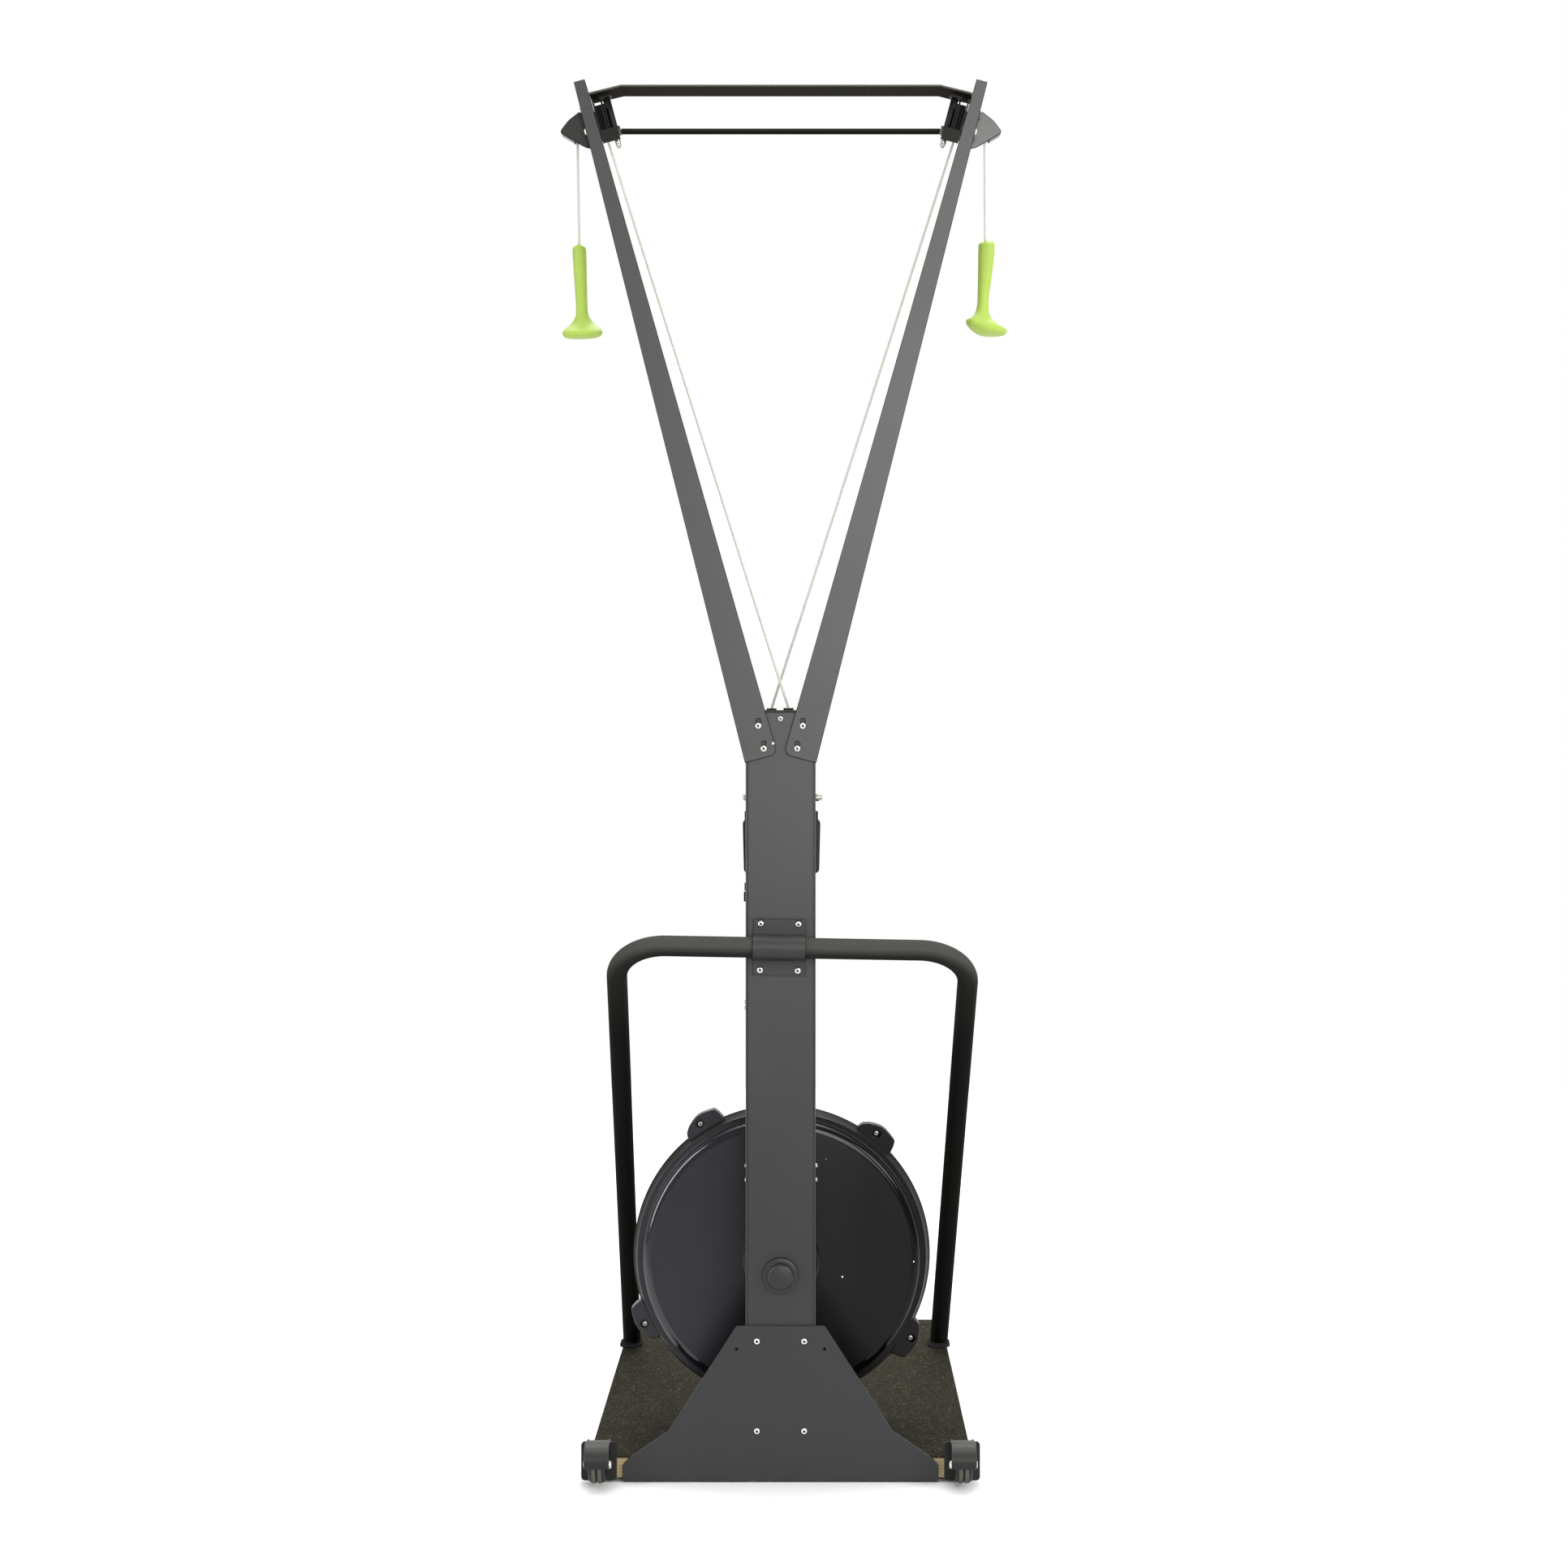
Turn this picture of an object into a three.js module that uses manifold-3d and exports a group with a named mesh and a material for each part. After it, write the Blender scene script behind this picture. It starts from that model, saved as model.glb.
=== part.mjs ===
// A ski machine: an upright exercise machine whose two handles pull cords down from a pair of raised
// arms, over pulleys and through a column, to drums on the shaft of an air-braked flywheel.
//
// Lengths are millimetres. X runs to the right as seen from the wall side, Y from the wall side
// towards the user, Z up from the floor. While the pieces are made, Y is 0 at the back of the column;
// the finished group is moved so that its origin lies on the floor under the middle of the machine.

import * as THREE from 'three';
import { mergeVertices } from 'three/addons/utils/BufferGeometryUtils.js';
import Module from 'manifold-3d';

const wasm = await Module();
wasm.setup();

// Clearances
const GAP = 0.3; // between two pieces that touch
const CUT = 5; // how far a cutter runs past what it cuts
const LAP = 1; // how deep one body of a joined piece runs into the next

// Facets of round shapes
const FINE = 36;
const ROUND = 20;
const SMALL = 12;
const TINY = 8;

// Platform
const BOARD = { width: 588, depth: 1036, thickness: 30, corner: 6 };
const MAT = { thickness: 3, inset: 2 };
const STRIP = { height: 6.2, depth: 60, inset: 40, edge: 90, corner: 8 };

// Column
const COLUMN = { width: 108, depth: 110, wall: 3, corner: 4, top: 1184 };
const CAP = { plate: 4, skirt: 10, skirtWall: 3, corner: 3 };
const EYELET = { radius: 8, bore: 5, rise: 3.5 };

// Arms that lean outwards from the column, folded from sheet. The outer edge of each starts beside the
// column, footDrop below its top, and goes spread outwards and rise up.
const ARM = {
  overhang: 1, footDrop: 77, spread: 263.6, rise: 1048, topWidth: 17.5, footWidth: 52,
  depth: 30, sheet: 3, corner: 13, slotRise: 8,
};
// The arms' bolts, in from the column's sides and down from its top
const ARM_BOLT = { upperInset: 19.7, upperDrop: 20, lowerInset: 28.2, lowerDrop: 55 };

// Crossbars between the arms: the top one lies a little below the arms' ends
const TOP_BAR = { below: 3.7, bendInset: 53.4, drop: 12.4, run: 51, sheet: 3.5, depth: 68, front: -3 };
const LOW_BAR = { thickness: 3.5, front: 18, depth: 28 };

// Button-head bolts and the plates that they are threaded into
const BOLT = { shank: 3, head: 5, headHeight: 3.2, crown: 2.6 };
const NUT_PLATE = { thickness: 4, margin: 7 };

// Plate between the column and the board's rear edge. Its widths follow the column at the top and the
// board at the foot.
const BASE_PLATE = {
  sheet: 4, top: 240.7, topMargin: 14, footInset: 51, kneeInset: 71, kneeZ: 79, shoulderInset: 10,
  shoulderZ: 37.5, footZ: 26, corner: 6, flange: 58, boltInset: 17.6, boltDrop: 23.7,
  spareMargin: 13.7, spareDrop: 35.7, spareRadius: 2.5,
};

// Tubular brace behind the column, down to the board. The right leg stands wider than its foot and the
// left one narrower, and the bar falls to the right.
const HOOP = {
  tube: 16, wall: 2, barZ: 823, footInset: 14, leftLean: 27, rightLean: 11, footBack: 224,
  bend: 78, bendSteps: 5, fall: 4.7, footPlate: 5, footWidth: 40, footLength: 58,
};
const CLAMP = { sheet: 3, sideInset: 13.5, centreX: -2, flange: 24.05, boltSide: 11.5, boltEdge: 8.15 };

// Transport wheels at the board's rear corners
const CASTER = {
  inset: 14.5, plateMargin: 15.5, plateRise: 27.6, plateBottom: 2.5, sheet: 3, corner: 6,
  wheel: 28, wheelWidth: 24, lift: 7, axle: 4, groove: 3, grooveHalf: 2, tyreRound: 3,
  cheek: 2.5, cheekGap: 3, guardGap: 3, guard: 3, headRadius: 6.5, headHeight: 4,
};
const GUARD_END = THREE.MathUtils.degToRad(80);

// Pulley heads at the top of the arms
const PULLEY = { inset: 6, drop: 62, cordLine: 21, lip: 3, width: 11, gap: 1, bore: 4 };
const BRACKET = {
  sheet: 2.5, reach: 31.7, back: 54, panelOuter: -13, panelReach: 16.7, panelTop: 26,
  floorZ: -17.5, roofZ: 32.5, roofStart: 12.7, tabDepth: 14, flangeDrop: 20, flangeStart: 0.6,
  flangeEnd: 3.5,
};
const ROLLER = {
  inset: 9, y: 12, radius: 5.8, bore: 2.9, pin: 2.5, head: 4.2, sleeve: 24.5, tail: 3, headHeight: 3,
};
const HEAD_BOLT = { upper: 24.5, lower: -10.2 };
const COVER = { sheet: 2.5, ahead: 11, rim: 26, slot: 5 };
// The cover's outline from the pulley's axis: outwards and up, in shares of the pulley's flange radius
const COVER_SHARES = [
  [0.05, 1.2], [0.64, 1.16], [1.42, 0.55], [1.69, 0.19], [1.9, -0.08], [1.9, -0.28],
  [0.82, -0.92], [0.33, -1.2], [-0.04, -1.3], [-0.45, -1.22],
];

// Cords, handles and the drums that the cords wind on
const CORD = { radius: 2, sides: 8, bend: 48, bendSteps: 4, wrapSteps: 10 };
const HANDLE = {
  length: 146, leftDrift: -3, rightDrift: 1, leftHang: 178, rightHang: 172, sides: 16,
};
const HANDLE_TILT = THREE.MathUtils.degToRad(2.2);
const GRIP = { halfA: 31.4, reachB: 34.2 };
const SAME_SHARE = 1e-4; // two heights closer than this are the same section
// The grip's sections: height as a share of its length, then half its breadth as a share of halfA,
// and its two edges the other way as shares of reachB
const GRIP_SHARES = [
  [0, 0.38, -0.09, 0.85], [0.03, 0.83, -0.42, 1], [0.08, 1, -0.68, 0.78], [0.15, 0.78, -0.89, 0.35],
  [0.19, 0.53, -0.79, 0.22], [0.215, 0.41, -0.5, 0.19], [0.26, 0.3, -0.44, 0.16],
  [0.33, 0.29, -0.37, 0.15], [0.6, 0.31, -0.34, 0.28], [0.93, 0.34, -0.32, 0.42],
  [0.965, 0.29, -0.28, 0.42], [1, 0.1, -0.1, 0.2],
];

// Flywheel shaft, its drums and the return cord
const SHAFT = { x: 0, matClear: 40.2, radius: 8, rear: 0.5, inset: 4 };
const DRUM = { cordLine: 18, lip: 8, flangeWidth: 2, groove: 7, centreY: 30, spacing: 40 };
const RETURN = { drop: 131, bolt: 4.5, cord: 2.5, head: 5, headHeight: 5, tail: 10, flange: 3 };
const SHAFT_CAP = { radius: 27.5, lip: 7, step: 9, height: 20, rim: 3 };

// Flywheel and its housing, round the shaft. The radii step inwards from the rim and the depths
// forwards from the column.
const DISC = { rim: 238, standoff: 30, sheet: 3, stepIn: 10, roundIn: 20, flatIn: 28, stepDepth: 23 };
const RIM = { depth: 52, shoulderDepth: 12, shoulderIn: 6, boss: 60, bore: 14 };
const SHELL = { depth: 98, flatIn: 30, shoulderIn: 13, shoulderDepth: 18, hub: 24 };
const LUG = { out: 8, thickness: 14, screw: 3, ahead: 37, behind: 30 };
// A lug's corners: out from its screw, along the rim, and how much each is rounded
const LUG_CORNERS = [[9, -31.5, 1.5], [15, -2, 30], [1, 26, 8]];
const LUG_ANGLES = [55, 125, 210, 270, 330].map((angle) => THREE.MathUtils.degToRad(angle - 3));
const VENT = { count: 16, inner: 120, margin: 17, fillShare: 0.62, intakeInner: 40, intakeLength: 44 };
const FAN = {
  clear: 9, disc: 4, hub: 26, hubLength: 60, depth: 36, blades: 16, blade: 3, bladeDepth: 60,
  bladeLength: 68,
};
const DAMPER = { margin: 16, sheet: 3, lever: 34, leverWidth: 16, knob: 11, knobHeight: 16 };

// Monitor on the user's side of the column
const MONITOR = {
  margin: 8, taper: 2, drop: 168, height: 86, standoff: 40, depth: 32, corner: 8, screenSide: 18,
  screenLow: 20, screenHigh: 14, screenDepth: 3, buttonInset: 10,
};
const MOUNT = { sheet: 4, margin: 4, eye: 6.5, skirt: 31, hingeDepth: 8, hingeRise: 7, pin: 4, arm: 2 };
const BUTTON = { radius: 4.5, height: 4, travel: 1.5, spacing: 18, drop: 22, count: 3 };

// Levels and places that follow from the sizes above
const boardHalf = BOARD.width / 2;
const boardBottom = STRIP.height + GAP;
const boardTop = boardBottom + BOARD.thickness;
const matTop = boardTop + GAP + MAT.thickness;
const columnHalf = COLUMN.width / 2;
const columnBottom = matTop + GAP;
const capTop = COLUMN.top + GAP + CAP.plate;
const casterZ = CASTER.wheel + CASTER.lift;
const casterY = -(GAP + CASTER.sheet + CASTER.wheel + CASTER.cheekGap);
const hoopFootX = boardHalf - HOOP.footInset;
const hoopLeftX = hoopFootX - HOOP.leftLean;
const hoopRightX = hoopFootX + HOOP.rightLean;
const hoopFootY = BOARD.depth - HOOP.footBack;
const HOOP_LEAN = Math.atan2(2 * HOOP.fall, hoopLeftX + hoopRightX);
const drumYs = [DRUM.centreY, DRUM.centreY + DRUM.spacing];
const drumSpan = 2 * DRUM.groove + 3 * DRUM.flangeWidth;
const grooveOffset = (DRUM.groove + DRUM.flangeWidth) / 2;
const grooveFloor = DRUM.cordLine - CORD.radius - GAP;
const shaftZ = matTop + SHAFT.matClear + DISC.rim;
const discY = COLUMN.depth + DISC.standoff;
const discFlat = DISC.rim - DISC.flatIn;
const rimY = discY + RIM.depth;
const shellFront = rimY + SHELL.depth;
const shellFlat = DISC.rim - SHELL.flatIn;
const intakeOuter = VENT.intakeInner + VENT.intakeLength;
const returnZ = COLUMN.top - RETURN.drop;
const monitorTop = COLUMN.top - MONITOR.drop;
const monitorBack = COLUMN.depth + MONITOR.standoff;
const monitorHalf = columnHalf + MONITOR.margin;

// The arms' corners, how far out from the middle an arm's edge is at a height, and the pulleys' places.
// An arm's middle line leans by the lean of its outer edge and half its taper.
const ARM_LEAN = Math.atan2(ARM.spread, ARM.rise)
  + Math.atan2((ARM.footWidth - ARM.topWidth) / 2, Math.hypot(ARM.spread, ARM.rise));
const armFoot = [columnHalf + ARM.overhang, COLUMN.top - ARM.footDrop];
const armTop = [armFoot[0] + ARM.spread, armFoot[1] + ARM.rise];
const acrossArm = ([x, z], width) => [x - width * Math.cos(ARM_LEAN), z + width * Math.sin(ARM_LEAN)];
const armEdges = {
  outer: [armFoot, armTop],
  inner: [acrossArm(armFoot, ARM.footWidth), acrossArm(armTop, ARM.topWidth)],
};

function armEdge(which, z) {
  const [foot, top] = armEdges[which];
  return foot[0] + ((z - foot[1]) * (top[0] - foot[0])) / (top[1] - foot[1]);
}

const pulleyZ = armTop[1] - PULLEY.drop;
const pulleyX = armEdge('outer', pulleyZ) - PULLEY.inset;
const pulleyFront = BRACKET.back + PULLEY.gap;
const pulleyFlange = PULLEY.cordLine + PULLEY.lip;
const cordY = pulleyFront + PULLEY.width / 2;
const headBoltY = ARM.depth / 2 - GAP - ARM.sheet;

// Colours and finishes
function finish(color, roughness, metalness) {
  return new THREE.MeshStandardMaterial({ color, roughness, metalness });
}

const framePaint = finish(0x4a4a4c, 0.6, 0.2);
const steel = finish(0xc4c2bc, 0.35, 0.9);
const blackPlastic = finish(0x17181a, 0.35, 0);
const wood = finish(0xb98d5e, 0.6, 0);
const rubber = finish(0x1f1f20, 0.9, 0);
const tread = finish(0x6f6f70, 0.8, 0);
const cordFibre = finish(0xdcdcd2, 0.8, 0);
const limePlastic = finish(0xa9cf45, 0.45, 0);
const glass = finish(0x222a2c, 0.15, 0);
const fanMetal = finish(0x8c8e90, 0.5, 0.7);

const machine = new THREE.Group();

// Geometry helpers

function cleaned(geometry) {
  const bare = geometry.clone();
  for (const name of Object.keys(bare.attributes)) {
    if (name !== 'position') bare.deleteAttribute(name);
  }
  const merged = mergeVertices(bare);
  const index = merged.index.array;
  const kept = [];
  for (let i = 0; i < index.length; i += 3) {
    const [a, b, c] = [index[i], index[i + 1], index[i + 2]];
    if (a !== b && b !== c && c !== a) kept.push(a, b, c);
  }
  merged.setIndex(kept);
  return volumeOf(merged) < 0 ? turnedInsideOut(merged) : merged;
}

function volumeOf(geometry) {
  const points = geometry.attributes.position;
  const index = geometry.index.array;
  const [a, b, c] = [new THREE.Vector3(), new THREE.Vector3(), new THREE.Vector3()];
  let sum = 0;
  for (let i = 0; i < index.length; i += 3) {
    a.fromBufferAttribute(points, index[i]);
    b.fromBufferAttribute(points, index[i + 1]);
    c.fromBufferAttribute(points, index[i + 2]);
    sum += a.dot(b.cross(c));
  }
  return sum;
}

function turnedInsideOut(geometry) {
  const index = Array.from(geometry.index.array);
  for (let i = 0; i < index.length; i += 3) [index[i], index[i + 1]] = [index[i + 1], index[i]];
  geometry.setIndex(index);
  return geometry;
}

function solid(geometry) {
  const closed = cleaned(geometry);
  return new wasm.Manifold(new wasm.Mesh({
    numProp: 3,
    vertProperties: new Float32Array(closed.attributes.position.array),
    triVerts: new Uint32Array(closed.index.array),
  }));
}

function geometryOf(body) {
  const mesh = body.getMesh();
  const geometry = new THREE.BufferGeometry();
  geometry.setAttribute('position', new THREE.BufferAttribute(mesh.vertProperties, mesh.numProp));
  geometry.setIndex(new THREE.BufferAttribute(mesh.triVerts, 1));
  return geometry;
}

function joined(...geometries) {
  return geometryOf(geometries.map(solid).reduce((whole, next) => whole.add(next)));
}

function cut(geometry, ...cutters) {
  return geometryOf(cutters.map(solid).reduce((whole, next) => whole.subtract(next), solid(geometry)));
}

function piece(name, geometry, material, parent = machine) {
  const mesh = new THREE.Mesh(cleaned(geometry), material);
  mesh.name = name;
  parent.add(mesh);
  return mesh;
}

const across = new THREE.Vector3(1, 0, 0);
const along = new THREE.Vector3(0, 1, 0);
const up = new THREE.Vector3(0, 0, 1);

// A flat outline drawn out along an axis. The outline's two coordinates are (y, z) for the x axis,
// (x, z) for y and (x, y) for z.
function prism(shape, axis, from, to, curveSegments = 4) {
  const geometry = new THREE.ExtrudeGeometry(shape, { depth: to - from, bevelEnabled: false, curveSegments });
  geometry.translate(0, 0, axis === 'y' ? -to : from);
  const turns = {
    x: new THREE.Matrix4().makeBasis(along, up, across),
    y: new THREE.Matrix4().makeBasis(across, up, along.clone().negate()),
    z: new THREE.Matrix4(),
  };
  return geometry.applyMatrix4(turns[axis]);
}

// A closed outline whose corners are [x, z] or, where the corner is rounded, [x, z, radius]
function outline(corners) {
  const shape = new THREE.Shape();
  corners.forEach(([x, z, radius = 0], i) => {
    const here = new THREE.Vector2(x, z);
    const before = new THREE.Vector2(...corners.at(i - 1).slice(0, 2)).sub(here);
    const after = new THREE.Vector2(...corners[(i + 1) % corners.length].slice(0, 2)).sub(here);
    const half = Math.acos(before.dot(after) / (before.length() * after.length())) / 2;
    const reach = radius / Math.tan(half);
    const start = here.clone().addScaledVector(before.normalize(), reach);
    const end = here.clone().addScaledVector(after.normalize(), reach);
    if (i === 0) shape.moveTo(start.x, start.y);
    else shape.lineTo(start.x, start.y);
    if (radius > 0) shape.quadraticCurveTo(x, z, end.x, end.y);
  });
  shape.closePath();
  return shape;
}

function rectangle(x0, x1, z0, z1, radius = 0) {
  return outline([[x0, z0, radius], [x1, z0, radius], [x1, z1, radius], [x0, z1, radius]]);
}

function box(x0, x1, y0, y1, z0, z1) {
  return prism(rectangle(x0, x1, y0, y1), 'z', z0, z1);
}

// A shape turned about an axis. The profile lists [place along the axis, radius]; one that starts and
// ends on the axis is a solid of revolution, any other closes on itself.
function turned(axis, profile, sides, at = [0, 0]) {
  const points = profile.map(([place, radius]) => new THREE.Vector2(radius, place));
  if (points[0].x > 0 || points.at(-1).x > 0) points.push(points[0].clone());
  const geometry = new THREE.LatheGeometry(points, sides);
  if (axis === 'x') geometry.rotateZ(-Math.PI / 2).translate(0, at[0], at[1]);
  if (axis === 'y') geometry.translate(at[0], 0, at[1]);
  if (axis === 'z') geometry.rotateX(Math.PI / 2).translate(at[0], at[1], 0);
  return geometry;
}

function rod(axis, radius, from, to, at, sides = TINY) {
  return turned(axis, [[from, 0], [from, radius], [to, radius], [to, 0]], sides, at);
}

function ring(axis, inner, outer, from, to, at, sides) {
  return turned(axis, [[from, inner], [from, outer], [to, outer], [to, inner]], sides, at);
}

// A route whose own points are the steps of what is drawn along it, so a straight run is one step
class Route extends THREE.Curve {
  constructor(points) {
    super();
    this.points = points;
  }

  getPoint(t) {
    return this.points[Math.round(t * (this.points.length - 1))].clone();
  }

  getSpacedPoints() {
    return this.points.map((point) => point.clone());
  }

  getTangentAt(u) {
    const i = Math.round(u * (this.points.length - 1));
    const before = this.points[Math.max(i - 1, 0)];
    const after = this.points[Math.min(i + 1, this.points.length - 1)];
    return after.clone().sub(before).normalize();
  }
}

function tube(points, radius, bore, sides) {
  const section = new THREE.Shape();
  section.absarc(0, 0, radius, 0, 2 * Math.PI);
  if (bore > 0) section.holes.push(new THREE.Path().absarc(0, 0, bore, 0, 2 * Math.PI, true));
  const extrudePath = new Route(points);
  return new THREE.ExtrudeGeometry(section, {
    steps: points.length - 1, curveSegments: sides / 2, bevelEnabled: false, extrudePath,
  });
}

// The points of a bent line: its corners, each rounded by an arc of the bend radius
function bent(corners, radius, steps) {
  const points = [corners[0]];
  for (let i = 1; i < corners.length - 1; i += 1) {
    const before = corners[i - 1].clone().sub(corners[i]).normalize();
    const after = corners[i + 1].clone().sub(corners[i]).normalize();
    const half = before.angleTo(after) / 2;
    const toCentre = before.clone().add(after).normalize();
    const centre = corners[i].clone().addScaledVector(toCentre, radius / Math.sin(half));
    const start = corners[i].clone().addScaledVector(before, radius / Math.tan(half)).sub(centre);
    const end = corners[i].clone().addScaledVector(after, radius / Math.tan(half)).sub(centre);
    const turn = start.angleTo(end);
    for (let step = 0; step <= steps; step += 1) {
      const share = step / steps;
      const point = start.clone().multiplyScalar(Math.sin((1 - share) * turn) / Math.sin(turn));
      point.addScaledVector(end, Math.sin(share * turn) / Math.sin(turn));
      points.push(point.add(centre));
    }
  }
  points.push(corners.at(-1));
  return points;
}

// Bolts that point along Y, with their heads towards the wall, in one plate that they screw into
function boltGroup(places, headY, plateY) {
  const xs = places.map(([x]) => x);
  const zs = places.map(([, z]) => z);
  const margin = NUT_PLATE.margin;
  const plate = box(
    Math.min(...xs) - margin, Math.max(...xs) + margin, plateY, plateY + NUT_PLATE.thickness,
    Math.min(...zs) - margin, Math.max(...zs) + margin,
  );
  const bolts = places.map((place) => turned('y', [
    [headY - BOLT.headHeight, 0], [headY - BOLT.headHeight, BOLT.crown], [headY, BOLT.head],
    [headY, BOLT.shank], [plateY + LAP, BOLT.shank], [plateY + LAP, 0],
  ], TINY, place));
  return joined(plate, ...bolts);
}

function boltHoles(places, from, to) {
  return places.map((place) => rod('y', BOLT.shank + GAP, from, to, place));
}

// Places of the bolts through the column's back
const armBolts = (side) => [
  [side * (columnHalf - ARM_BOLT.upperInset), COLUMN.top - ARM_BOLT.upperDrop],
  [side * (columnHalf - ARM_BOLT.lowerInset), COLUMN.top - ARM_BOLT.lowerDrop],
];
const clampZ = HOOP.barZ - (CLAMP.centreX - (hoopRightX - hoopLeftX) / 2) * Math.tan(HOOP_LEAN);
const clampHalf = columnHalf - CLAMP.sideInset;
const clampInner = HOOP.tube + 2 * GAP;
const clampHeight = clampInner + CLAMP.sheet + CLAMP.flange;
const clampBoltX = clampHalf - CLAMP.boltSide;
const clampBoltRise = clampHeight - CLAMP.boltEdge;
const clampTurn = (x, rise) => [
  CLAMP.centreX + x * Math.cos(HOOP_LEAN) + rise * Math.sin(HOOP_LEAN),
  clampZ + rise * Math.cos(HOOP_LEAN) - x * Math.sin(HOOP_LEAN),
];
const clampBolts = [-1, 1].flatMap(
  (x) => [-1, 1].map((z) => clampTurn(x * clampBoltX, z * clampBoltRise)),
);
const baseBoltX = columnHalf - BASE_PLATE.boltInset;
const baseBolts = [-1, 1].flatMap((side) => [
  [side * baseBoltX, BASE_PLATE.top - BASE_PLATE.boltDrop], [side * baseBoltX, BASE_PLATE.kneeZ],
]);

// Platform: a board on two rubber strips, with a rubber mat
function makePlatform() {
  const board = rectangle(-boardHalf, boardHalf, 0, BOARD.depth, BOARD.corner);
  piece('platform_board', prism(board, 'z', boardBottom, boardTop), wood);
  const matHalf = boardHalf - MAT.inset;
  const mat = rectangle(-matHalf, matHalf, MAT.inset, BOARD.depth - MAT.inset, BOARD.corner);
  piece('platform_mat', prism(mat, 'z', boardTop + GAP, matTop), rubber);
  const stripHalf = boardHalf - STRIP.inset;
  const places = { rear: BASE_PLATE.flange + STRIP.inset, front: BOARD.depth - STRIP.edge };
  for (const [name, y] of Object.entries(places)) {
    const strip = rectangle(-stripHalf, stripHalf, y, y + STRIP.depth, STRIP.corner);
    piece(`foot_strip_${name}`, prism(strip, 'z', 0, STRIP.height), rubber);
  }
}

// Column: a square tube with its bolt and shaft holes, and the cap that the cords enter by
function makeColumn() {
  const shell = rectangle(-columnHalf, columnHalf, 0, COLUMN.depth, COLUMN.corner);
  const inner = columnHalf - COLUMN.wall;
  const inside = rectangle(-inner, inner, COLUMN.wall, COLUMN.depth - COLUMN.wall);
  shell.holes.push(new THREE.Path(inside.getPoints().reverse()));
  const backHoles = [...armBolts(-1), ...armBolts(1), ...clampBolts, ...baseBolts];
  const shaftHole = rod('y', SHAFT.radius + GAP, -CUT, COLUMN.depth + CUT, [SHAFT.x, shaftZ], SMALL);
  const crossHole = rod('x', RETURN.bolt + GAP, -columnHalf - CUT, columnHalf + CUT, [returnY, returnZ]);
  const body = cut(
    prism(shell, 'z', columnBottom, COLUMN.top),
    ...boltHoles(backHoles, -CUT, COLUMN.wall + CUT), shaftHole, crossHole,
  );
  piece('column', body, framePaint);
}

function makeColumnCap() {
  const half = columnHalf;
  const inset = COLUMN.wall + GAP;
  const plateFrom = COLUMN.top + GAP;
  const plate = prism(rectangle(-half, half, 0, COLUMN.depth, CAP.corner), 'z', plateFrom, capTop);
  const skirtFrom = COLUMN.top - CAP.skirt;
  const skirt = box(-half + inset, half - inset, inset, COLUMN.depth - inset, skirtFrom, plateFrom + LAP);
  const inner = inset + CAP.skirtWall;
  const hollow = box(-half + inner, half - inner, inner, COLUMN.depth - inner, skirtFrom - CUT, plateFrom);
  const rings = cordEntries.map(
    (entry) => rod('z', EYELET.radius, capTop - LAP, capTop + EYELET.rise, entry, SMALL),
  );
  const bores = cordEntries.map((entry) => rod('z', EYELET.bore, skirtFrom, capTop + CUT, entry, SMALL));
  piece('column_cap', cut(joined(cut(joined(plate, skirt), hollow), ...rings), ...bores), blackPlastic);
}

// Arms
function makeArm(name, side) {
  const back = -(GAP + ARM.sheet);
  const [innerFoot, innerTop] = armEdges.inner;
  const face = outline([armFoot, armTop, innerTop, [...innerFoot, ARM.corner]].map(
    ([o, z, radius = 0]) => [side * o, z, radius],
  ));
  const [low, high] = [armFoot[1] - CUT, armTop[1] + ARM.topWidth + CUT];
  const wall = ARM.sheet / Math.cos(ARM_LEAN);
  const hollow = outline([
    [side * (armEdge('outer', low) - wall), low], [side * (armEdge('outer', high) - wall), high],
    [side * (armEdge('inner', high) + wall), high], [side * (armEdge('inner', low) + wall), low],
  ]);
  const half = columnHalf + GAP;
  const body = cut(
    prism(face, 'y', back, back + ARM.depth),
    prism(hollow, 'y', -GAP, back + ARM.depth + CUT),
    box(-half, half, -GAP, ARM.depth + CUT, low, capTop + GAP),
    ...armBolts(side).map(([x, z]) => boltSlot(x, z, back)),
    ...[HEAD_BOLT.upper, HEAD_BOLT.lower].map((w) => headBoltHole(side, w)),
  );
  piece(name, body, framePaint);
}

function boltSlot(x, z, back) {
  const half = BOLT.shank + GAP;
  const slot = rectangle(x - half, x + half, z - half, z + half + ARM.slotRise, half / 2);
  return prism(slot, 'y', back - CUT, GAP);
}

// A head's own frame has its origin on the pulley's axis, u inwards square to the arm and w up along it
function headPoint(side, u, w) {
  const [cos, sin] = [Math.cos(ARM_LEAN), Math.sin(ARM_LEAN)];
  return [side * (pulleyX - u * cos + w * sin), pulleyZ + u * sin + w * cos];
}

function headGroup(side) {
  const group = new THREE.Group();
  group.position.set(side * pulleyX, 0, pulleyZ);
  group.rotation.y = side * ARM_LEAN;
  machine.add(group);
  return group;
}

function headBoltHole(side, w) {
  const reach = bracketInner() + CUT + ARM.depth;
  const hole = rod('x', BOLT.shank + GAP, -reach, reach, [headBoltY, w]);
  return hole.rotateY(side * ARM_LEAN).translate(side * pulleyX, 0, pulleyZ);
}

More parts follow.
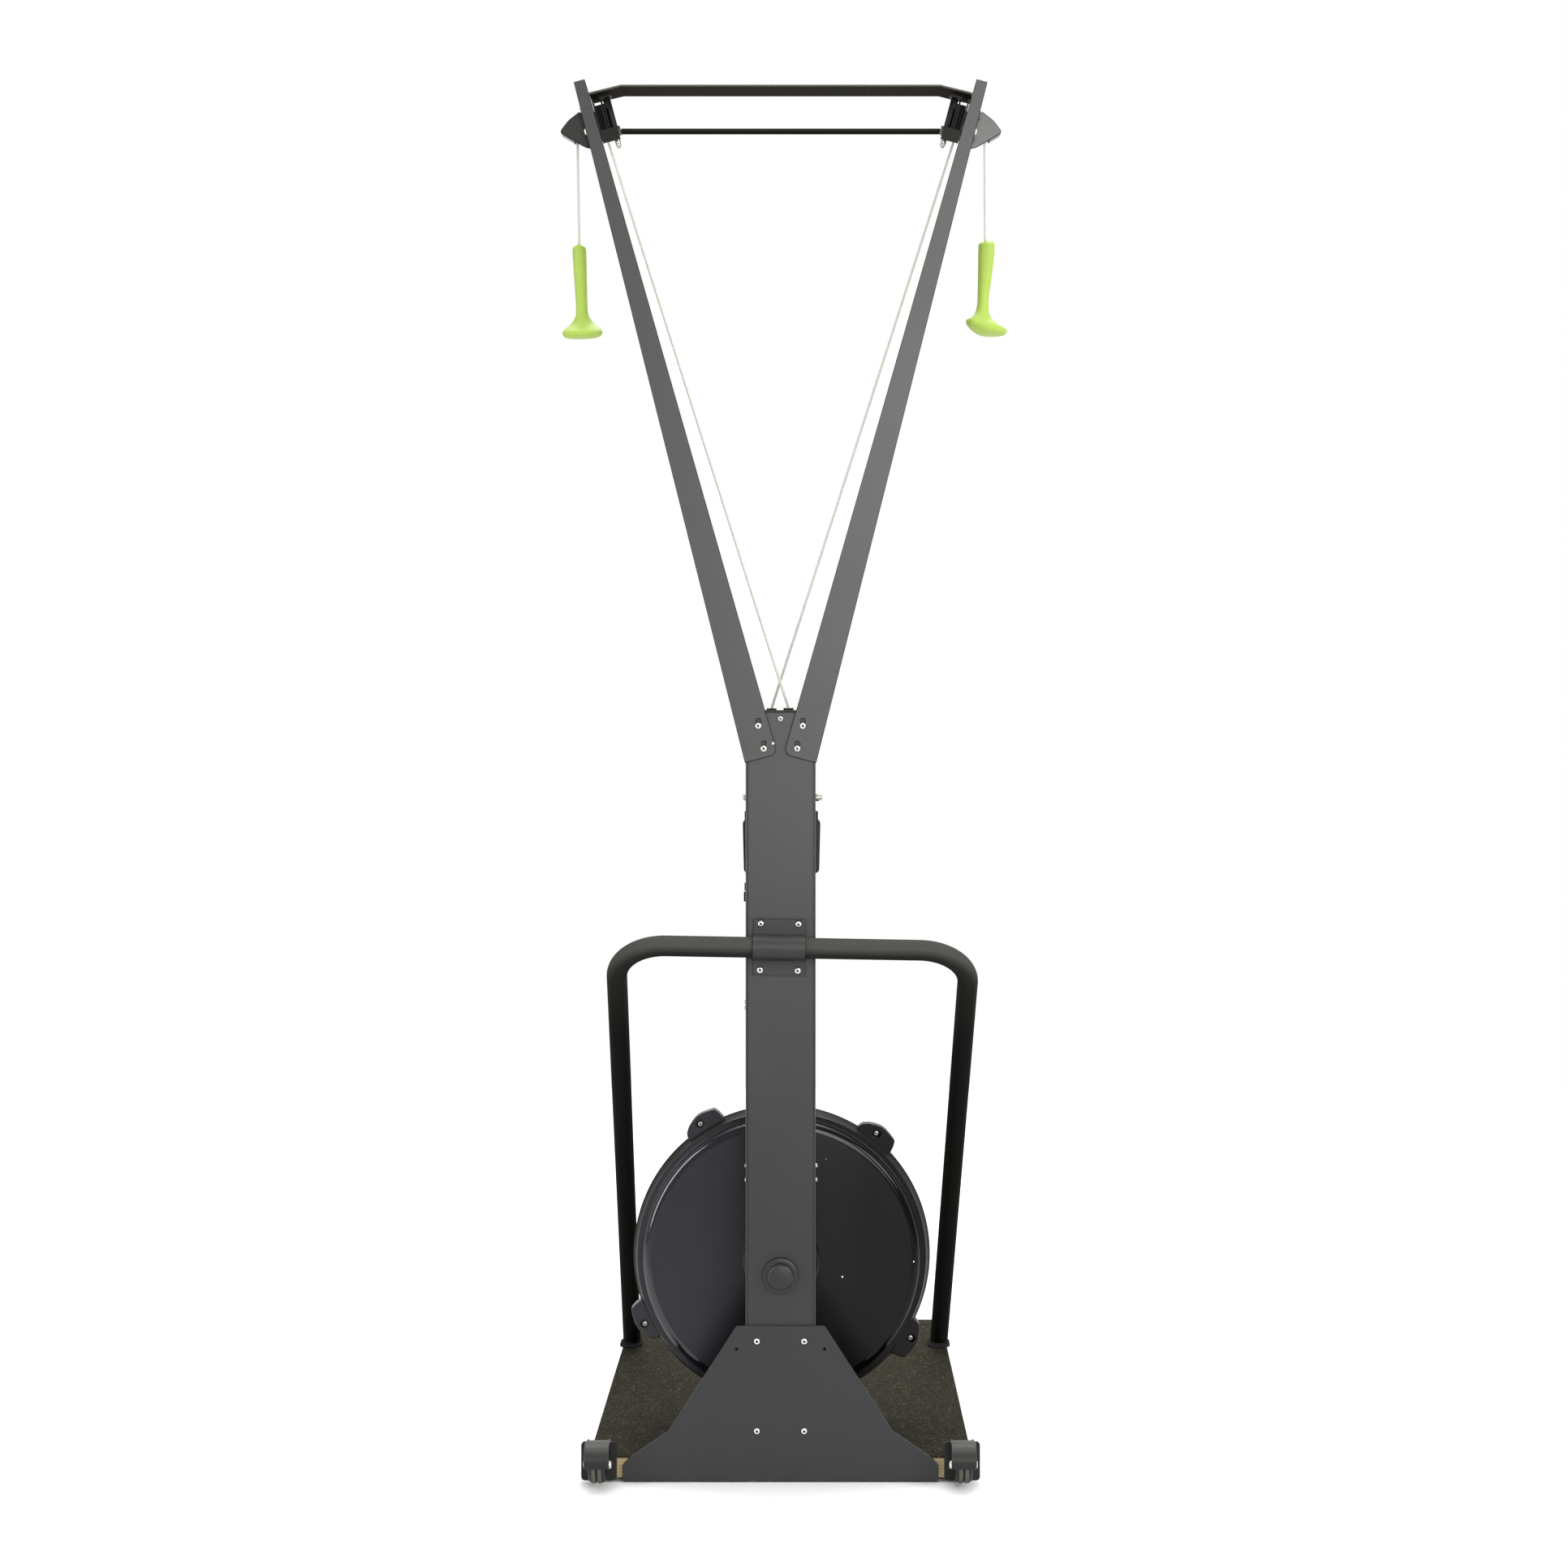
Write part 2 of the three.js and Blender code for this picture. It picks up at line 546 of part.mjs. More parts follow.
// Crossbars: a bent flat bar at the top and a straight one between the brackets
function makeCrossbars() {
  const slope = Math.atan2(TOP_BAR.drop, TOP_BAR.run);
  const end = (z) => armEdge('inner', z) - GAP / Math.cos(ARM_LEAN);
  const meet = (z, x) => {
    // Where the sloping line from the bend at x and z meets the arm's inner edge
    let o = x;
    for (let i = 0; i < FINE; i += 1) o = end(z - (o - x) * Math.tan(slope));
    return [o, z - (o - x) * Math.tan(slope)];
  };
  const topZ = armTop[1] - TOP_BAR.below;
  const lowZ = topZ - TOP_BAR.sheet;
  const bend = armEdge('inner', topZ) - TOP_BAR.bendInset;
  const lowBend = bend - TOP_BAR.sheet * Math.tan(slope / 2);
  const topOuter = meet(topZ, bend);
  const lowOuter = meet(lowZ, lowBend);
  const mirrored = ([o, z]) => [-o, z];
  const bar = outline([
    mirrored(topOuter), [-bend, topZ], [bend, topZ], topOuter,
    lowOuter, [lowBend, lowZ], [-lowBend, lowZ], mirrored(lowOuter),
  ]);
  piece('top_crossbar', prism(bar, 'y', TOP_BAR.front, TOP_BAR.front + TOP_BAR.depth), framePaint);
  // The lower bar's top is level with the inner ends of the brackets' floors
  const [x, z] = headPoint(1, bracketInner() + BRACKET.reach, BRACKET.floorZ);
  const half = x - GAP - BRACKET.sheet * Math.sin(ARM_LEAN);
  const back = LOW_BAR.front + LOW_BAR.depth;
  piece('lower_crossbar', box(-half, half, LOW_BAR.front, back, z - LOW_BAR.thickness, z), framePaint);
}

// Pulley head: a folded bracket on the arm's inner wall, a pulley behind its panel, a guide roller and
// a cover outside the arm
function makeHead(name, side) {
  const group = headGroup(side);
  const inward = -side;
  const slab = (u0, u1, y0, y1, w0, w1) => {
    const xs = [inward * u0, inward * u1].sort((a, b) => a - b);
    return box(xs[0], xs[1], y0, y1, w0, w1);
  };
  const B = BRACKET;
  const front = TOP_BAR.front;
  const panelY = B.back - B.sheet;
  const inner = bracketInner();
  const [outer, roofInner] = [inner + B.reach, inner + B.roofStart];
  const pinAt = [inward * (outer - ROLLER.inset), ROLLER.y];
  const pinHole = rod('z', ROLLER.pin + GAP, B.floorZ - CUT * 2, B.roofZ + CUT, pinAt);
  const boltHole = (w) => rod('x', BOLT.shank + GAP, -outer, roofInner - LAP, [headBoltY, w]);
  const body = cut(
    joined(
      slab(inner, inner + B.sheet, front, B.back, B.floorZ - B.sheet, B.roofZ),
      slab(B.panelOuter, inner + B.panelReach, panelY, B.back, B.floorZ - B.sheet, B.panelTop),
      slab(inner, outer, front, B.back, B.floorZ - B.sheet, B.floorZ),
      slab(
        inner + B.flangeStart, outer - B.flangeEnd, front, front + B.sheet, B.floorZ - B.flangeDrop,
        B.floorZ,
      ),
      slab(roofInner, roofInner + B.sheet, front + B.tabDepth, B.back, B.floorZ - LAP, B.roofZ),
      slab(roofInner, outer, front, front + B.tabDepth + B.sheet * 4, B.roofZ - B.sheet, B.roofZ),
      rod('y', PULLEY.bore, B.back - LAP, pulleyFront + PULLEY.width, [0, 0], SMALL),
    ),
    pinHole,
    ...[HEAD_BOLT.upper, HEAD_BOLT.lower].map((w) => boltHole(w).scale(inward, 1, 1)),
  );
  piece(`head_bracket_${name}`, body, framePaint, group);

  const pinTop = B.roofZ + GAP;
  const pinLow = B.floorZ - B.sheet - GAP;
  const nutLow = pinLow - ROLLER.sleeve;
  const pin = turned('z', [
    [nutLow - ROLLER.tail, 0], [nutLow - ROLLER.tail, ROLLER.pin], [nutLow, ROLLER.pin],
    [nutLow, ROLLER.head], [pinLow, ROLLER.head], [pinLow, ROLLER.pin],
    [pinTop, ROLLER.pin], [pinTop, ROLLER.head], [pinTop + ROLLER.headHeight, ROLLER.head / 2],
    [pinTop + ROLLER.headHeight, 0],
  ], TINY, pinAt);
  piece(`roller_pin_${name}`, pin, steel, group);
  const roller = ring(
    'z', ROLLER.bore, ROLLER.radius, B.floorZ + GAP, B.roofZ - B.sheet - GAP,
    [0, 0], SMALL,
  );
  const rollerMesh = piece(`guide_roller_${name}`, roller, blackPlastic, group);
  rollerMesh.position.set(...pinAt, 0);

  // Bolts across the arm, from its outer wall into a plate on the bracket's side
  const plateU = inner + B.sheet + GAP;
  const bolts = [HEAD_BOLT.upper, HEAD_BOLT.lower].map((w) => {
    const wallU = armU('outer', w) - GAP - BOLT.shank * Math.tan(headTaper);
    return turned('x', [
      [wallU - BOLT.headHeight, 0], [wallU - BOLT.headHeight, BOLT.crown], [wallU, BOLT.head],
      [wallU, BOLT.shank], [plateU + LAP, BOLT.shank], [plateU + LAP, 0],
    ], TINY, [headBoltY, w]).scale(inward, 1, 1);
  });
  const plate = slab(
    plateU, plateU + NUT_PLATE.thickness, headBoltY - NUT_PLATE.margin, headBoltY + NUT_PLATE.margin,
    HEAD_BOLT.lower - NUT_PLATE.margin / 2, HEAD_BOLT.upper + NUT_PLATE.margin / 2,
  );
  piece(`head_bolts_${name}`, joined(plate, ...bolts), steel, group);
  makePulley(name, side);
  makeCover(name, side);
}

// The arm's outer edge leans a little less than the head's frame does
const headTaper = Math.atan2(ARM.spread, ARM.rise) - ARM_LEAN;

// Where an edge of the arm is in the head's frame, at a height along the arm
function armU(which, w) {
  let u = 0;
  for (let i = 0; i < FINE; i += 1) {
    const [x, z] = headPoint(1, u, w);
    u += (x - armEdge(which, z)) * Math.cos(ARM_LEAN);
  }
  return u;
}

// The bracket's side plate stands beside the arm where the arm is widest
function bracketInner() {
  return armU('inner', BRACKET.floorZ - BRACKET.sheet) + GAP;
}

function makePulley(name, side) {
  const back = pulleyFront + PULLEY.width;
  const floor = PULLEY.cordLine - CORD.radius - GAP;
  const profile = [
    [pulleyFront, PULLEY.bore + GAP], [pulleyFront, pulleyFlange], [pulleyFront + GAP, pulleyFlange],
    [cordY - CORD.radius, floor], [cordY + CORD.radius, floor],
    [back - GAP, pulleyFlange], [back, pulleyFlange], [back, PULLEY.bore + GAP],
  ];
  const mesh = piece(`pulley_${name}`, turned('y', profile, ROUND), blackPlastic);
  mesh.position.set(side * pulleyX, 0, pulleyZ);
}

function makeCover(name, side) {
  const reach = (grow) => COVER_SHARES.map(([o, w]) => {
    const point = new THREE.Vector2(o, w).multiplyScalar(pulleyFlange);
    point.setLength(point.length() - grow);
    return [side * (pulleyX + point.x), pulleyZ + point.y];
  });
  const front = pulleyFront - COVER.ahead;
  const back = front + COVER.rim;
  const slotMiddle = side * handleX(side);
  const rimFrom = pulleyX - BRACKET.panelOuter + COVER.sheet;
  const innerX = [side * (pulleyX - pulleyFlange), side * rimFrom].sort((a, b) => a - b);
  const lowZ = pulleyZ - 2 * pulleyFlange;
  const body = cut(
    prism(outline(reach(0)), 'y', front, back),
    prism(outline(reach(COVER.sheet)), 'y', front + COVER.sheet, back + CUT),
    box(
      slotMiddle - COVER.slot, slotMiddle + COVER.slot, front + COVER.sheet, back + CUT,
      lowZ, pulleyZ - pulleyFlange / 2,
    ),
    box(innerX[0], innerX[1], front + COVER.sheet, back + CUT, lowZ, pulleyZ + 2 * pulleyFlange),
  );
  piece(`pulley_cover_${name}`, body, framePaint);
}

// Base plate, bent under the board
function makeBasePlate() {
  const P = BASE_PLATE;
  const back = -(GAP + P.sheet);
  const bottom = boardBottom - GAP - P.sheet;
  const footHalf = boardHalf - P.footInset;
  const half = [
    [columnHalf + P.topMargin, P.top, P.corner], [footHalf - P.kneeInset, P.kneeZ, P.corner],
    [footHalf - P.shoulderInset, P.shoulderZ, P.corner], [footHalf, P.footZ, P.corner],
    [footHalf, bottom],
  ];
  const shape = outline([...half, ...half.toReversed().map(([x, z, radius = 0]) => [-x, z, radius])]);
  const spareAt = [columnHalf + P.spareMargin, P.top - P.spareDrop];
  const spares = [-1, 1].map(
    (side) => rod('y', P.spareRadius, back - CUT, CUT, [side * spareAt[0], spareAt[1]]),
  );
  const flange = box(-footHalf, footHalf, back + LAP, P.flange, bottom, bottom + P.sheet);
  const holes = [...boltHoles(baseBolts, back - CUT, CUT), ...spares];
  piece('base_plate', joined(cut(prism(shape, 'y', back, -GAP), ...holes), flange), framePaint);
  piece('base_bolts', boltGroup(baseBolts, back - GAP, COLUMN.wall + GAP), steel);
}

// Hoop brace: one bent tube whose bar lies behind the column and whose legs rake forward to the board
function makeHoop() {
  const barY = -(HOOP.tube + GAP);
  const footTop = matTop + GAP + HOOP.footPlate + GAP;
  const reach = new THREE.Vector3(0, hoopFootY - barY, footTop - HOOP.barZ);
  const beyond = reach.clone().multiplyScalar((HOOP.tube * 3) / reach.length());
  const corners = [
    new THREE.Vector3(-hoopFootX, hoopFootY, footTop).add(beyond),
    new THREE.Vector3(-hoopLeftX, barY, HOOP.barZ + HOOP.fall),
    new THREE.Vector3(hoopRightX, barY, HOOP.barZ - HOOP.fall),
    new THREE.Vector3(hoopFootX, hoopFootY, footTop).add(beyond),
  ];
  const route = bent(corners, HOOP.bend, HOOP.bendSteps);
  const below = box(
    -BOARD.width, BOARD.width, hoopFootY / 2, BOARD.depth, -BOARD.thickness, footTop,
  );
  const body = cut(tube(route, HOOP.tube, HOOP.tube - HOOP.wall, SMALL), below);
  piece('hoop_brace', body, framePaint);
  for (const [name, side] of [['left', -1], ['right', 1]]) {
    const x = side * hoopFootX;
    const plate = rectangle(
      x - HOOP.footWidth / 2, x + HOOP.footWidth / 2,
      hoopFootY - HOOP.footLength / 2, hoopFootY + HOOP.footLength / 2, HOOP.footWidth / 3,
    );
    piece(`hoop_foot_${name}`, prism(plate, 'z', matTop + GAP, matTop + GAP + HOOP.footPlate), framePaint);
  }
}

// Saddle that clamps the hoop's bar to the column
function makeClamp() {
  const inner = clampInner;
  const outer = inner + CLAMP.sheet;
  const barY = -(HOOP.tube + GAP);
  const [back, face] = [-(GAP + CLAMP.sheet), -GAP];
  const halfHeight = clampHeight;
  const shape = new THREE.Shape();
  shape.moveTo(face, -halfHeight);
  shape.lineTo(face, -inner);
  shape.lineTo(barY, -inner);
  shape.absarc(barY, 0, inner, -Math.PI / 2, Math.PI / 2, true);
  shape.lineTo(face, inner);
  shape.lineTo(face, halfHeight);
  shape.lineTo(back, halfHeight);
  shape.lineTo(back, outer);
  shape.lineTo(barY, outer);
  shape.absarc(barY, 0, outer, Math.PI / 2, -Math.PI / 2, false);
  shape.lineTo(back, -outer);
  shape.lineTo(back, -halfHeight);
  shape.closePath();
  const slots = [-1, 1].flatMap((x) => [-1, 1].map((z) => {
    const at = [x * clampBoltX, z * clampBoltRise];
    const half = BOLT.shank + GAP;
    const slot = rectangle(at[0] - half, at[0] + half, at[1] - half, at[1] + 2 * half);
    return prism(slot, 'y', back - CUT, CUT);
  }));
  const body = cut(prism(shape, 'x', -clampHalf, clampHalf, TINY), ...slots);
  const mesh = piece('hoop_clamp', body, framePaint);
  mesh.position.set(CLAMP.centreX, 0, clampZ);
  mesh.rotation.y = HOOP_LEAN;
  piece('clamp_bolts', boltGroup(clampBolts, back - GAP, COLUMN.wall + GAP), steel);
}

// Transport wheel with its forked bracket
function makeCaster(name, side) {
  const C = CASTER;
  const group = new THREE.Group();
  group.position.set(side * (boardHalf - C.inset), 0, 0);
  machine.add(group);
  const half = C.wheelWidth / 2 + C.plateMargin;
  const plateTop = casterZ + C.plateRise;
  const plate = prism(outline([
    [-half, C.plateBottom, C.corner], [half, C.plateBottom, C.corner],
    [half, plateTop, C.corner * 2], [-half, plateTop, C.corner * 2],
  ]), 'y', -GAP - C.sheet, -GAP);
  const guardInner = C.wheel + C.guardGap;
  const guardOuter = guardInner + C.guard;
  const halfFork = C.wheelWidth / 2 + C.guardGap + C.cheek;
  // The guard runs over the wheel from the plate to a little above the axle
  const guard = new THREE.Shape();
  const [from, to] = [Math.PI / 2 + GUARD_END, Math.PI / 2 - GUARD_END / 2];
  guard.absarc(casterY, casterZ, guardOuter, from, to, true);
  guard.lineTo(casterY + guardInner * Math.cos(to), casterZ + guardInner * Math.sin(to));
  guard.absarc(casterY, casterZ, guardInner, to, from, false);
  guard.closePath();
  const cheekShape = new THREE.Shape();
  const reach = C.headRadius + C.cheek;
  cheekShape.moveTo(-GAP - LAP, casterZ - reach);
  cheekShape.lineTo(-GAP - LAP, casterZ + guardInner);
  cheekShape.lineTo(casterY, casterZ + guardInner + LAP);
  cheekShape.absarc(casterY, casterZ, guardInner + LAP, Math.PI / 2, Math.PI / 2 + GUARD_END, false);
  cheekShape.lineTo(casterY - reach, casterZ);
  cheekShape.lineTo(casterY, casterZ - reach);
  cheekShape.closePath();
  const cheeks = [-1, 1].map((end) => {
    const xs = [end * halfFork, end * (halfFork - C.cheek)].sort((a, b) => a - b);
    return prism(cheekShape, 'x', xs[0], xs[1]);
  });
  const bore = rod('x', C.axle + GAP, -halfFork - CUT, halfFork + CUT, [casterY, casterZ]);
  const infront = box(-half, half, -GAP - LAP, C.wheel, 0, 2 * plateTop);
  const clipped = cut(prism(guard, 'x', -halfFork, halfFork), infront);
  piece(`caster_bracket_${name}`, cut(joined(plate, clipped, ...cheeks), bore), blackPlastic, group);

  const halfWheel = C.wheelWidth / 2;
  const round = C.wheel - C.tyreRound;
  const wheel = turned('x', [
    [-halfWheel, C.axle + GAP], [-halfWheel, round], [-halfWheel + C.tyreRound, C.wheel],
    [-C.grooveHalf, C.wheel], [-C.grooveHalf, C.wheel - C.groove], [C.grooveHalf, C.wheel - C.groove],
    [C.grooveHalf, C.wheel], [halfWheel - C.tyreRound, C.wheel], [halfWheel, round],
    [halfWheel, C.axle + GAP],
  ], ROUND);
  const wheelMesh = piece(`caster_wheel_${name}`, wheel, tread, group);
  wheelMesh.position.set(0, casterY, casterZ);

  const seat = halfFork + GAP;
  const axle = turned('x', [
    [-seat - C.headHeight, 0], [-seat - C.headHeight, C.headRadius], [-seat, C.headRadius],
    [-seat, C.axle], [seat, C.axle], [seat, C.headRadius], [seat + C.headHeight, C.headRadius],
    [seat + C.headHeight, 0],
  ], TINY, [casterY, casterZ]);
  piece(`caster_axle_${name}`, axle, steel, group);
}

// Drums on the shaft, one for each handle: a groove for the drive cord and one for the return cord. Both
// drive cords leave on the left and both ends of the return cord on the right, so both drums turn the
// shaft the same way.
const returnGrooveYs = [drumYs[0] + grooveOffset, drumYs[1] - grooveOffset];
const driveGrooveYs = [drumYs[0] - grooveOffset, drumYs[1] + grooveOffset];
const returnY = (returnGrooveYs[0] + returnGrooveYs[1]) / 2;
const returnRadius = (returnGrooveYs[1] - returnGrooveYs[0]) / 2;
// Where the left handle's cord and the right handle's cord go through the cap
const cordEntries = [[12, driveGrooveYs[0]], [-15, driveGrooveYs[1]]];

function makeDrums() {
  const F = DRUM.flangeWidth;
  const flange = DRUM.cordLine + DRUM.lip;
  for (const [i, name] of ['left', 'right'].entries()) {
    const start = -drumSpan / 2;
    const mid = -F / 2;
    const profile = [
      [start, SHAFT.radius + GAP], [start, flange], [start + F, flange], [start + F, grooveFloor],
      [mid, grooveFloor], [mid, flange], [mid + F, flange], [mid + F, grooveFloor],
      [-start - F, grooveFloor], [-start - F, flange], [-start, flange],
      [-start, SHAFT.radius + GAP],
    ];
    const mesh = piece(`cord_drum_${name}`, turned('y', profile, SMALL), fanMetal);
    mesh.position.set(SHAFT.x, drumYs[i], shaftZ);
  }
}

// Return pulley near the column's top, on a bolt across it, and the elastic cord over it
function makeReturn() {
  const seat = columnHalf + GAP;
  const bolt = turned('x', [
    [-seat - RETURN.headHeight, 0], [-seat - RETURN.headHeight, RETURN.head], [-seat, RETURN.head],
    [-seat, RETURN.bolt], [seat, RETURN.bolt], [seat, RETURN.head + LAP],
    [seat + RETURN.headHeight, RETURN.head + LAP], [seat + RETURN.headHeight, RETURN.bolt],
    [seat + RETURN.tail, RETURN.bolt], [seat + RETURN.tail, 0],
  ], TINY, [returnY, returnZ]);
  piece('return_bolt', bolt, steel);
  const floor = returnRadius - RETURN.cord - GAP;
  const width = RETURN.cord + RETURN.flange;
  const pulley = turned('x', [
    [-width, RETURN.bolt + GAP], [-width, returnRadius], [-RETURN.cord, floor],
    [RETURN.cord, floor], [width, returnRadius], [width, RETURN.bolt + GAP],
  ], ROUND);
  const mesh = piece('return_pulley', pulley, blackPlastic);
  mesh.position.set(SHAFT.x, returnY, returnZ);
  const drumLine = grooveFloor + GAP + RETURN.cord;
  const route = [new THREE.Vector3(drumLine, returnGrooveYs[0], shaftZ)];
  for (let step = 0; step <= TINY; step += 1) {
    const angle = Math.PI - (step * Math.PI) / TINY;
    route.push(new THREE.Vector3(
      SHAFT.x, returnY + returnRadius * Math.cos(angle), returnZ + returnRadius * Math.sin(angle),
    ));
  }
  route.push(new THREE.Vector3(drumLine, returnGrooveYs[1], shaftZ));
  piece('return_cord', tube(route, RETURN.cord, 0, CORD.sides), rubber);
}

// Drive cords: over each pulley, down between the arms, through the cap and on to a drum
function handleX(side) {
  return pulleyX + PULLEY.cordLine + (side < 0 ? HANDLE.leftDrift : HANDLE.rightDrift);
}

function driveRoute(side, entry, grooveY) {
  const centre = new THREE.Vector3(side * pulleyX, cordY, pulleyZ);
  const top = new THREE.Vector3(entry[0], entry[1], capTop + EYELET.rise);
  // The straight run leaves the pulley square to its radius
  const flat = new THREE.Vector2(side * (top.x - centre.x), top.z - centre.z);
  const lean = Math.atan2(-flat.x, -flat.y) + Math.asin(PULLEY.cordLine / flat.length());
  const points = [];
  const turn = Math.PI - lean;
  for (let step = 0; step <= CORD.wrapSteps; step += 1) {
    const angle = (turn * step) / CORD.wrapSteps;
    const out = side * PULLEY.cordLine * Math.cos(angle);
    const rise = PULLEY.cordLine * Math.sin(angle);
    points.push(new THREE.Vector3(centre.x + out, cordY, centre.z + rise));
  }
  const low = new THREE.Vector3(SHAFT.x - DRUM.cordLine, grooveY, shaftZ);
  const last = points.at(-1);
  const bendPoints = bent([last, top, low], CORD.bend, CORD.bendSteps);
  points.push(...bendPoints.slice(1, -1), low);
  for (let step = 1; step <= TINY; step += 1) {
    const angle = (step * Math.PI) / TINY;
    points.push(new THREE.Vector3(
      SHAFT.x - DRUM.cordLine * Math.cos(angle), grooveY, shaftZ - DRUM.cordLine * Math.sin(angle),
    ));
  }
  return points;
}

function makeCords() {
  for (const [i, name] of ['left', 'right'].entries()) {
    const side = i === 0 ? -1 : 1;
    const route = driveRoute(side, cordEntries[i], driveGrooveYs[i]);
    piece(`drive_cord_${name}`, tube(route, CORD.radius, 0, CORD.sides), cordFibre);
    const top = new THREE.Vector3(side * (pulleyX + PULLEY.cordLine), cordY, pulleyZ - GAP);
    const handleTop = pulleyZ - (side < 0 ? HANDLE.leftHang : HANDLE.rightHang);
    const low = new THREE.Vector3(side * handleX(side), cordY, handleTop + GAP);
    piece(`hanging_cord_${name}`, tube([top, low], CORD.radius, 0, CORD.sides), cordFibre);
    makeHandle(name, side, handleTop);
  }
}

// Handle: a grip that swells into a broad foot for the edge of the hand
function makeHandle(name, side, handleTop) {
  const heights = GRIP_SHARES.map(([height]) => height);
  const profile = [[0, 0], ...heights.map((height) => [height, 1]), [1, 0]];
  const geometry = turned('z', profile, HANDLE.sides);
  const points = geometry.attributes.position;
  for (let i = 0; i < points.count; i += 1) {
    const [x, y, z] = [points.getX(i), points.getY(i), points.getZ(i)];
    const [, half, low, high] = GRIP_SHARES.find(([height]) => Math.abs(height - z) < SAME_SHARE);
    const b = ((low + high) / 2 + (y * (high - low)) / 2) * GRIP.reachB;
    points.setXYZ(i, x * half * GRIP.halfA, b, (z - 1) * HANDLE.length);
  }
  const mesh = piece(`handle_${name}`, geometry, limePlastic);
  mesh.position.set(side * handleX(side), cordY, handleTop);
  if (side < 0) mesh.rotation.set(0, -HANDLE_TILT, Math.PI);
  else mesh.rotation.z = -Math.PI / 2;
}

// Flywheel housing: a stepped rear shell bolted to the column, and a vented front shell
function makeHousing() {
  const at = [SHAFT.x, shaftZ];
  const inset = DISC.sheet;
  const stepY = discY + DISC.stepDepth;
  const [round, step] = [DISC.rim - DISC.roundIn, DISC.rim - DISC.stepIn];
  const [shoulderY, shoulder] = [rimY - RIM.shoulderDepth, DISC.rim - RIM.shoulderIn];
  const rear = turned('y', [
    [COLUMN.depth + GAP, RIM.bore], [COLUMN.depth + GAP, RIM.boss], [discY, RIM.boss], [discY, discFlat],
    [discY + inset, round], [stepY, round + inset], [stepY, step], [shoulderY, shoulder],
    [rimY - inset, DISC.rim], [rimY, DISC.rim], [rimY, shoulder - inset / 2],
    [shoulderY, step - inset / 2], [stepY + inset, step - inset],
    [stepY + inset, round - inset / 2], [discY + inset, discFlat - inset], [discY + inset, RIM.bore],
  ], FINE, at);
  const lugs = LUG_ANGLES.map((angle) => lugBlock(angle, rimY - LUG.thickness, rimY));
  piece('housing_rear', joined(rear, ...lugs), blackPlastic);

  const start = rimY + GAP;
  const [bendY, bend] = [shellFront - SHELL.shoulderDepth, DISC.rim - SHELL.shoulderIn];
  const front = turned('y', [
    [start, shoulder - inset / 2], [start, DISC.rim], [start + inset, DISC.rim],
    [bendY, bend], [shellFront, shellFlat], [shellFront, SHELL.hub],
    [shellFront - inset, SHELL.hub], [shellFront - inset, shellFlat - inset],
    [bendY, bend - inset], [start + inset, shoulder - inset / 2],
  ], FINE, at);
  const lugsFront = LUG_ANGLES.map((angle) => lugBlock(angle, start, start + LUG.thickness));
  const vents = [];
  const [from, to] = [shellFront - inset - CUT, shellFront + CUT];
  for (let i = 0; i < VENT.count; i += 1) {
    vents.push(sector((2 * Math.PI * i) / VENT.count, VENT.inner, shellFlat - VENT.margin, from, to));
  }
  piece('housing_front', cut(joined(front, ...lugsFront), ...vents, ...intakeSlots(from, to)), blackPlastic);
}

function intakeSlots(from, to) {
  const angles = Array.from({ length: VENT.count / 2 }, (_, i) => (4 * Math.PI * i) / VENT.count);
  return angles.map((angle) => sector(angle, VENT.intakeInner, intakeOuter, from, to));
}

// A lug on the rim: a block with a rounded end, turned to its angle round the shaft
function lugBlock(angle, from, to) {
  const screwAt = DISC.rim + LUG.out;
  const inner = DISC.rim - 2 * LAP - (LUG.ahead * LUG.ahead) / (2 * DISC.rim);
  const corners = LUG_CORNERS.map(([out, along, radius]) => [screwAt + out, along, radius]);
  const shape = outline([[inner, -LUG.ahead], ...corners, [inner, LUG.behind]]);
  const hole = new THREE.Path();
  hole.absarc(screwAt, 0, LUG.screw, 0, 2 * Math.PI, true);
  shape.holes.push(hole);
  return prism(shape, 'y', from, to).rotateY(-angle).translate(SHAFT.x, 0, shaftZ);
}

// A slot between two radii, with its middle at an angle round the shaft
function sector(angle, inner, outer, from, to) {
  const half = ((VENT.fillShare * Math.PI) / VENT.count) * (inner < VENT.inner ? 2 : 1);
  const corner = (radius, turn) => [radius * Math.cos(angle + turn), radius * Math.sin(angle + turn)];
  const shape = outline([
    corner(inner, -half), corner(outer, -half), corner(outer, half), corner(inner, half),
  ]);
  return prism(shape, 'y', from, to).translate(SHAFT.x, 0, shaftZ);
}

